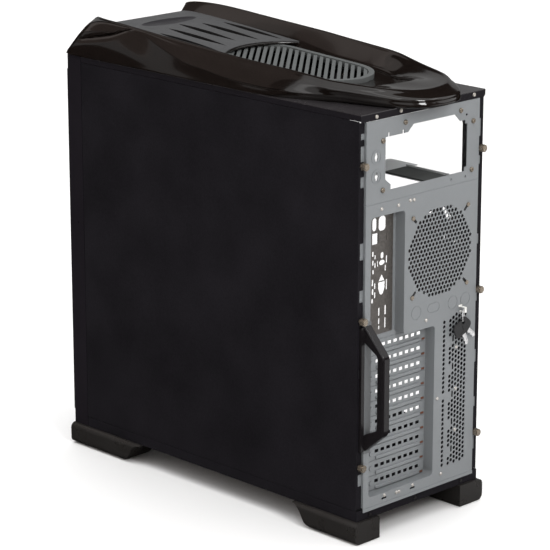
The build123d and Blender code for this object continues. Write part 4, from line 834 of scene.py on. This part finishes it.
def key(name, node, y0, tilt):
    yc = y0 + 0.95 - RING_Y
    px = RING_X + yc / math.tan(SKEW)
    pz = RING_Z - 2 * RING_R + (yc / math.sin(SKEW)) ** 2 / (2 * RING_R)
    ca, sa = math.cos(math.radians(tilt)), math.sin(math.radians(tilt))
    turn = Matrix(((ca, -sa, 0, px * MM), (0, 0, -1, (y0 + 1.9) * MM), (sa, ca, 0, pz * MM), (0, 0, 0, 1)))

    def carve(ob, tools, key_):
        for c in tools:
            md = ob.modifiers.new("cut", "BOOLEAN")
            md.operation = "DIFFERENCE"
            md.solver = "EXACT"
            md.object = c
        bpy.context.view_layer.update()
        apply_mods(ob)
        for c in tools:
            bpy.data.objects.remove(c)
        if not ob.data.materials:
            ob.data.materials.append(M[key_].m)
        ob.data.transform(turn)

    # the front face looks to the rear: local z runs into the head
    head = from_bm(name + "_head", prism(rounded_rect(7, -6, 26, 20.5, 6), 0.0, 1.9), ["key_head"], smooth=False)
    hole = from_bm("key_hole", prism([(3.2 * math.cos(t), 3.2 * math.sin(t)) for t in np.linspace(0, 2 * math.pi, 33)[:-1]], -2, 4))
    dish = from_bm("key_dish", prism(rounded_rect(10.5, -7.5, 13, 10, 3.5), -2, 0.35))
    carve(head, (hole, dish), "key_head")
    smooth_by_angle(head, 30)
    bv = head.modifiers.new("bevel", "BEVEL")
    bv.width = 0.45 * MM
    bv.segments = 3
    bv.limit_method = "ANGLE"
    bv.angle_limit = math.radians(40)
    pts = [(2.0, -14.0), (2.0, -30.5), (5.0, -33.5), (8.2, -31.5), (8.2, -29.4), (7.4, -28.6), (7.0, -27.6), (7.6, -26.8), (8.2, -26.0),
           (8.0, -24.0), (7.2, -22.8), (7.4, -21.6), (8.4, -20.2), (8.4, -14.0)]
    blade = from_bm(name + "_blade", prism(pts, 0.4, 1.5), ["steel_bright"], smooth=False)
    groove = from_bm("key_groove", prism([(3.4, -31), (4.6, -31), (4.6, -13), (3.4, -13)], -1, 0.72))
    carve(blade, (groove,), "steel_bright")
    bv = blade.modifiers.new("bevel", "BEVEL")
    bv.width = 0.14 * MM
    bv.segments = 2
    bv.limit_method = "ANGLE"
    bv.angle_limit = math.radians(35)
    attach(head, "key_bunch")
    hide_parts(node)
    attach(blade, "key_bunch")


key("key_one", "key_one", 275.5, -24)
key("key_two", "key_two", 272.4, -50)

# ---------------------------------------------------------------------------
# Rust-brown lugs of the slot covers, seen in their end slots
# ---------------------------------------------------------------------------
tv, tf = [], []
for k in range(10):
    zc = 70.6 + 20.32 * k - 9.2
    for x0, x1, z0, z1 in ((-23.3, -17.9, zc - 1.35, zc + 1.35), (83.0, 85.2, zc + 5.0, zc + 8.0)):
        b = len(tv)
        yb, yt = 253.9, 254.45
        for yv, e in ((yb, 0.0), (yt - 0.15, 0.0), (yt, 0.25)):
            tv += [(x0 + e, yv, z0 + e), (x1 - e, yv, z0 + e), (x1 - e, yv, z1 - e), (x0 + e, yv, z1 - e)]
        for lay in (0, 4):
            for q in range(4):
                tf.append((b + lay + q, b + lay + (q + 1) % 4, b + lay + 4 + (q + 1) % 4, b + lay + 4 + q))
        tf.append((b + 8, b + 9, b + 10, b + 11))
        tf.append((b + 3, b + 2, b + 1, b))
lugs = make("slot_cover_lugs", tv, tf, False, ["rust"])
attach(lugs, "chassis")

# ---------------------------------------------------------------------------
# Floor and light
# ---------------------------------------------------------------------------
bm = bmesh.new()
bmesh.ops.create_grid(bm, x_segments=8, y_segments=8, size=14.0)
floor = from_bm("stage_floor", bm, smooth=False)
fm = Mat("stage_floor").set(rough=0.9, spec=0.1)
fm.color(fm.ramp(fm.noise(3.0, 2.0), [(0.3, (0.95, 0.95, 0.95)), (0.7, (0.97, 0.97, 0.97))]))
floor.data.materials.append(fm.m)
floor.location.z = -0.0002
floor.visible_glossy = False

world = bpy.data.worlds.new("studio")
scene.world = world
world.use_nodes = True
wt = world.node_tree
wt.nodes.clear()
w_out = wt.nodes.new("ShaderNodeOutputWorld")
w_bg = wt.nodes.new("ShaderNodeBackground")
w_tc = wt.nodes.new("ShaderNodeTexCoord")
w_sep = wt.nodes.new("ShaderNodeSeparateXYZ")
wt.links.new(w_tc.outputs["Generated"], w_sep.inputs[0])
w_ramp = wt.nodes.new("ShaderNodeValToRGB")
er = w_ramp.color_ramp
er.elements[0].position = 0.0
er.elements[0].color = (0.42, 0.36, 0.32, 1)
er.elements[1].position = 1.0
er.elements[1].color = (1.0, 1.0, 1.0, 1)
e2 = er.elements.new(0.35)
e2.color = (0.62, 0.57, 0.54, 1)
e3 = er.elements.new(0.62)
e3.color = (1.0, 0.99, 0.98, 1)
wt.links.new(w_sep.outputs["Z"], w_ramp.inputs[0])
w_dot = wt.nodes.new("ShaderNodeVectorMath")
w_dot.operation = "DOT_PRODUCT"
w_dot.inputs[1].default_value = (-0.72, -0.69, 0.0)
wt.links.new(w_tc.outputs["Generated"], w_dot.inputs[0])
w_map = wt.nodes.new("ShaderNodeMapRange")
w_map.inputs[1].default_value = -0.2
w_map.inputs[2].default_value = 0.9
w_map.inputs[3].default_value = 0.0
w_map.inputs[4].default_value = 1.0
wt.links.new(w_dot.outputs["Value"], w_map.inputs[0])
w_mix = wt.nodes.new("ShaderNodeMix")
w_mix.data_type = "RGBA"
wt.links.new(w_map.outputs[0], w_mix.inputs["Factor"])
wt.links.new(w_ramp.outputs[0], w_mix.inputs["A"])
w_mix.inputs["B"].default_value = (1.0, 1.0, 1.0, 1)
wt.links.new(w_mix.outputs["Result"], w_bg.inputs[0])
w_bg.inputs[1].default_value = 0.95
world.cycles_visibility.glossy = False
wt.links.new(w_bg.outputs[0], w_out.inputs[0])


def area(name, loc, target, size, level, color=(1, 1, 1), size_y=None, diffuse=True, glossy=True):
    """Rectangular softbox of a given brightness."""
    ld = bpy.data.lights.new(name, "AREA")
    ld.shape = "RECTANGLE"
    ld.size = size
    ld.size_y = size_y or size
    ld.energy = level * math.pi * size * (size_y or size)
    ld.color = color
    ob = bpy.data.objects.new(name, ld)
    scene.collection.objects.link(ob)
    ob.location = loc
    ob.rotation_mode = "QUATERNION"
    ob.rotation_quaternion = (Vector(target) - Vector(loc)).to_track_quat("-Z", "Y")
    ob.visible_diffuse = diffuse
    ob.visible_glossy = glossy
    ob.visible_camera = False
    return ob


area("key", (0.45, 1.90, 1.50), (0.0, 0.27, 0.10), 0.6, 14.0)
area("side", (2.4, 0.4, 2.2), (0.0, 0.1, 0.55), 2.4, 0.95, diffuse=False)
area("overhead", (-0.2, -0.2, 4.4), (-0.2, -0.2, 0.0), 6.5, 1.19, glossy=False)
area("backdrop", (-3.2, -3.0, 1.3), (0.0, 0.0, 0.6), 4.5, 0.25, size_y=2.4, diffuse=False)
area("front_card", (0.3, -2.3, 2.2), (0.05, -0.25, 0.6), 1.2, 0.30, size_y=1.6, color=(1.0, 0.92, 0.88), diffuse=False)
area("low_card", (2.3, -2.2, 1.15), (0.1, 0.0, 0.58), 2.6, 0.25, size_y=0.5, diffuse=False)
area("warm_card", (1.5, -2.3, 2.6), (0.0, 0.0, 0.6), 2.8, 0.16, color=(1.0, 0.80, 0.72), diffuse=False)
area("ceiling", (0.35, 1.15, 3.3), (0.0, 0.27, 0.58), 5.0, 1.0, size_y=3.0, diffuse=False)
area("rear_card", (-2.0, 1.5, 2.2), (0.0, 0.28, 0.58), 2.2, 1.0, diffuse=False)
area("tail_card", (2.45, 1.05, 0.98), (0.06, 0.24, 0.58), 3.2, 0.62, size_y=1.3, diffuse=False)
area("fill", (2.4, 2.6, 3.4), (0.0, 0.0, 0.5), 2.2, 0.5, diffuse=False)
area("floor_card", (-1.5, 1.75, 0.03), (-1.3, 1.5, 1.0), 2.2, 0.8, diffuse=False)
area("spark", (0.62, 2.9, 0.62), (0.02, 0.29, 0.57), 0.30, 9.0, size_y=0.14, diffuse=False)
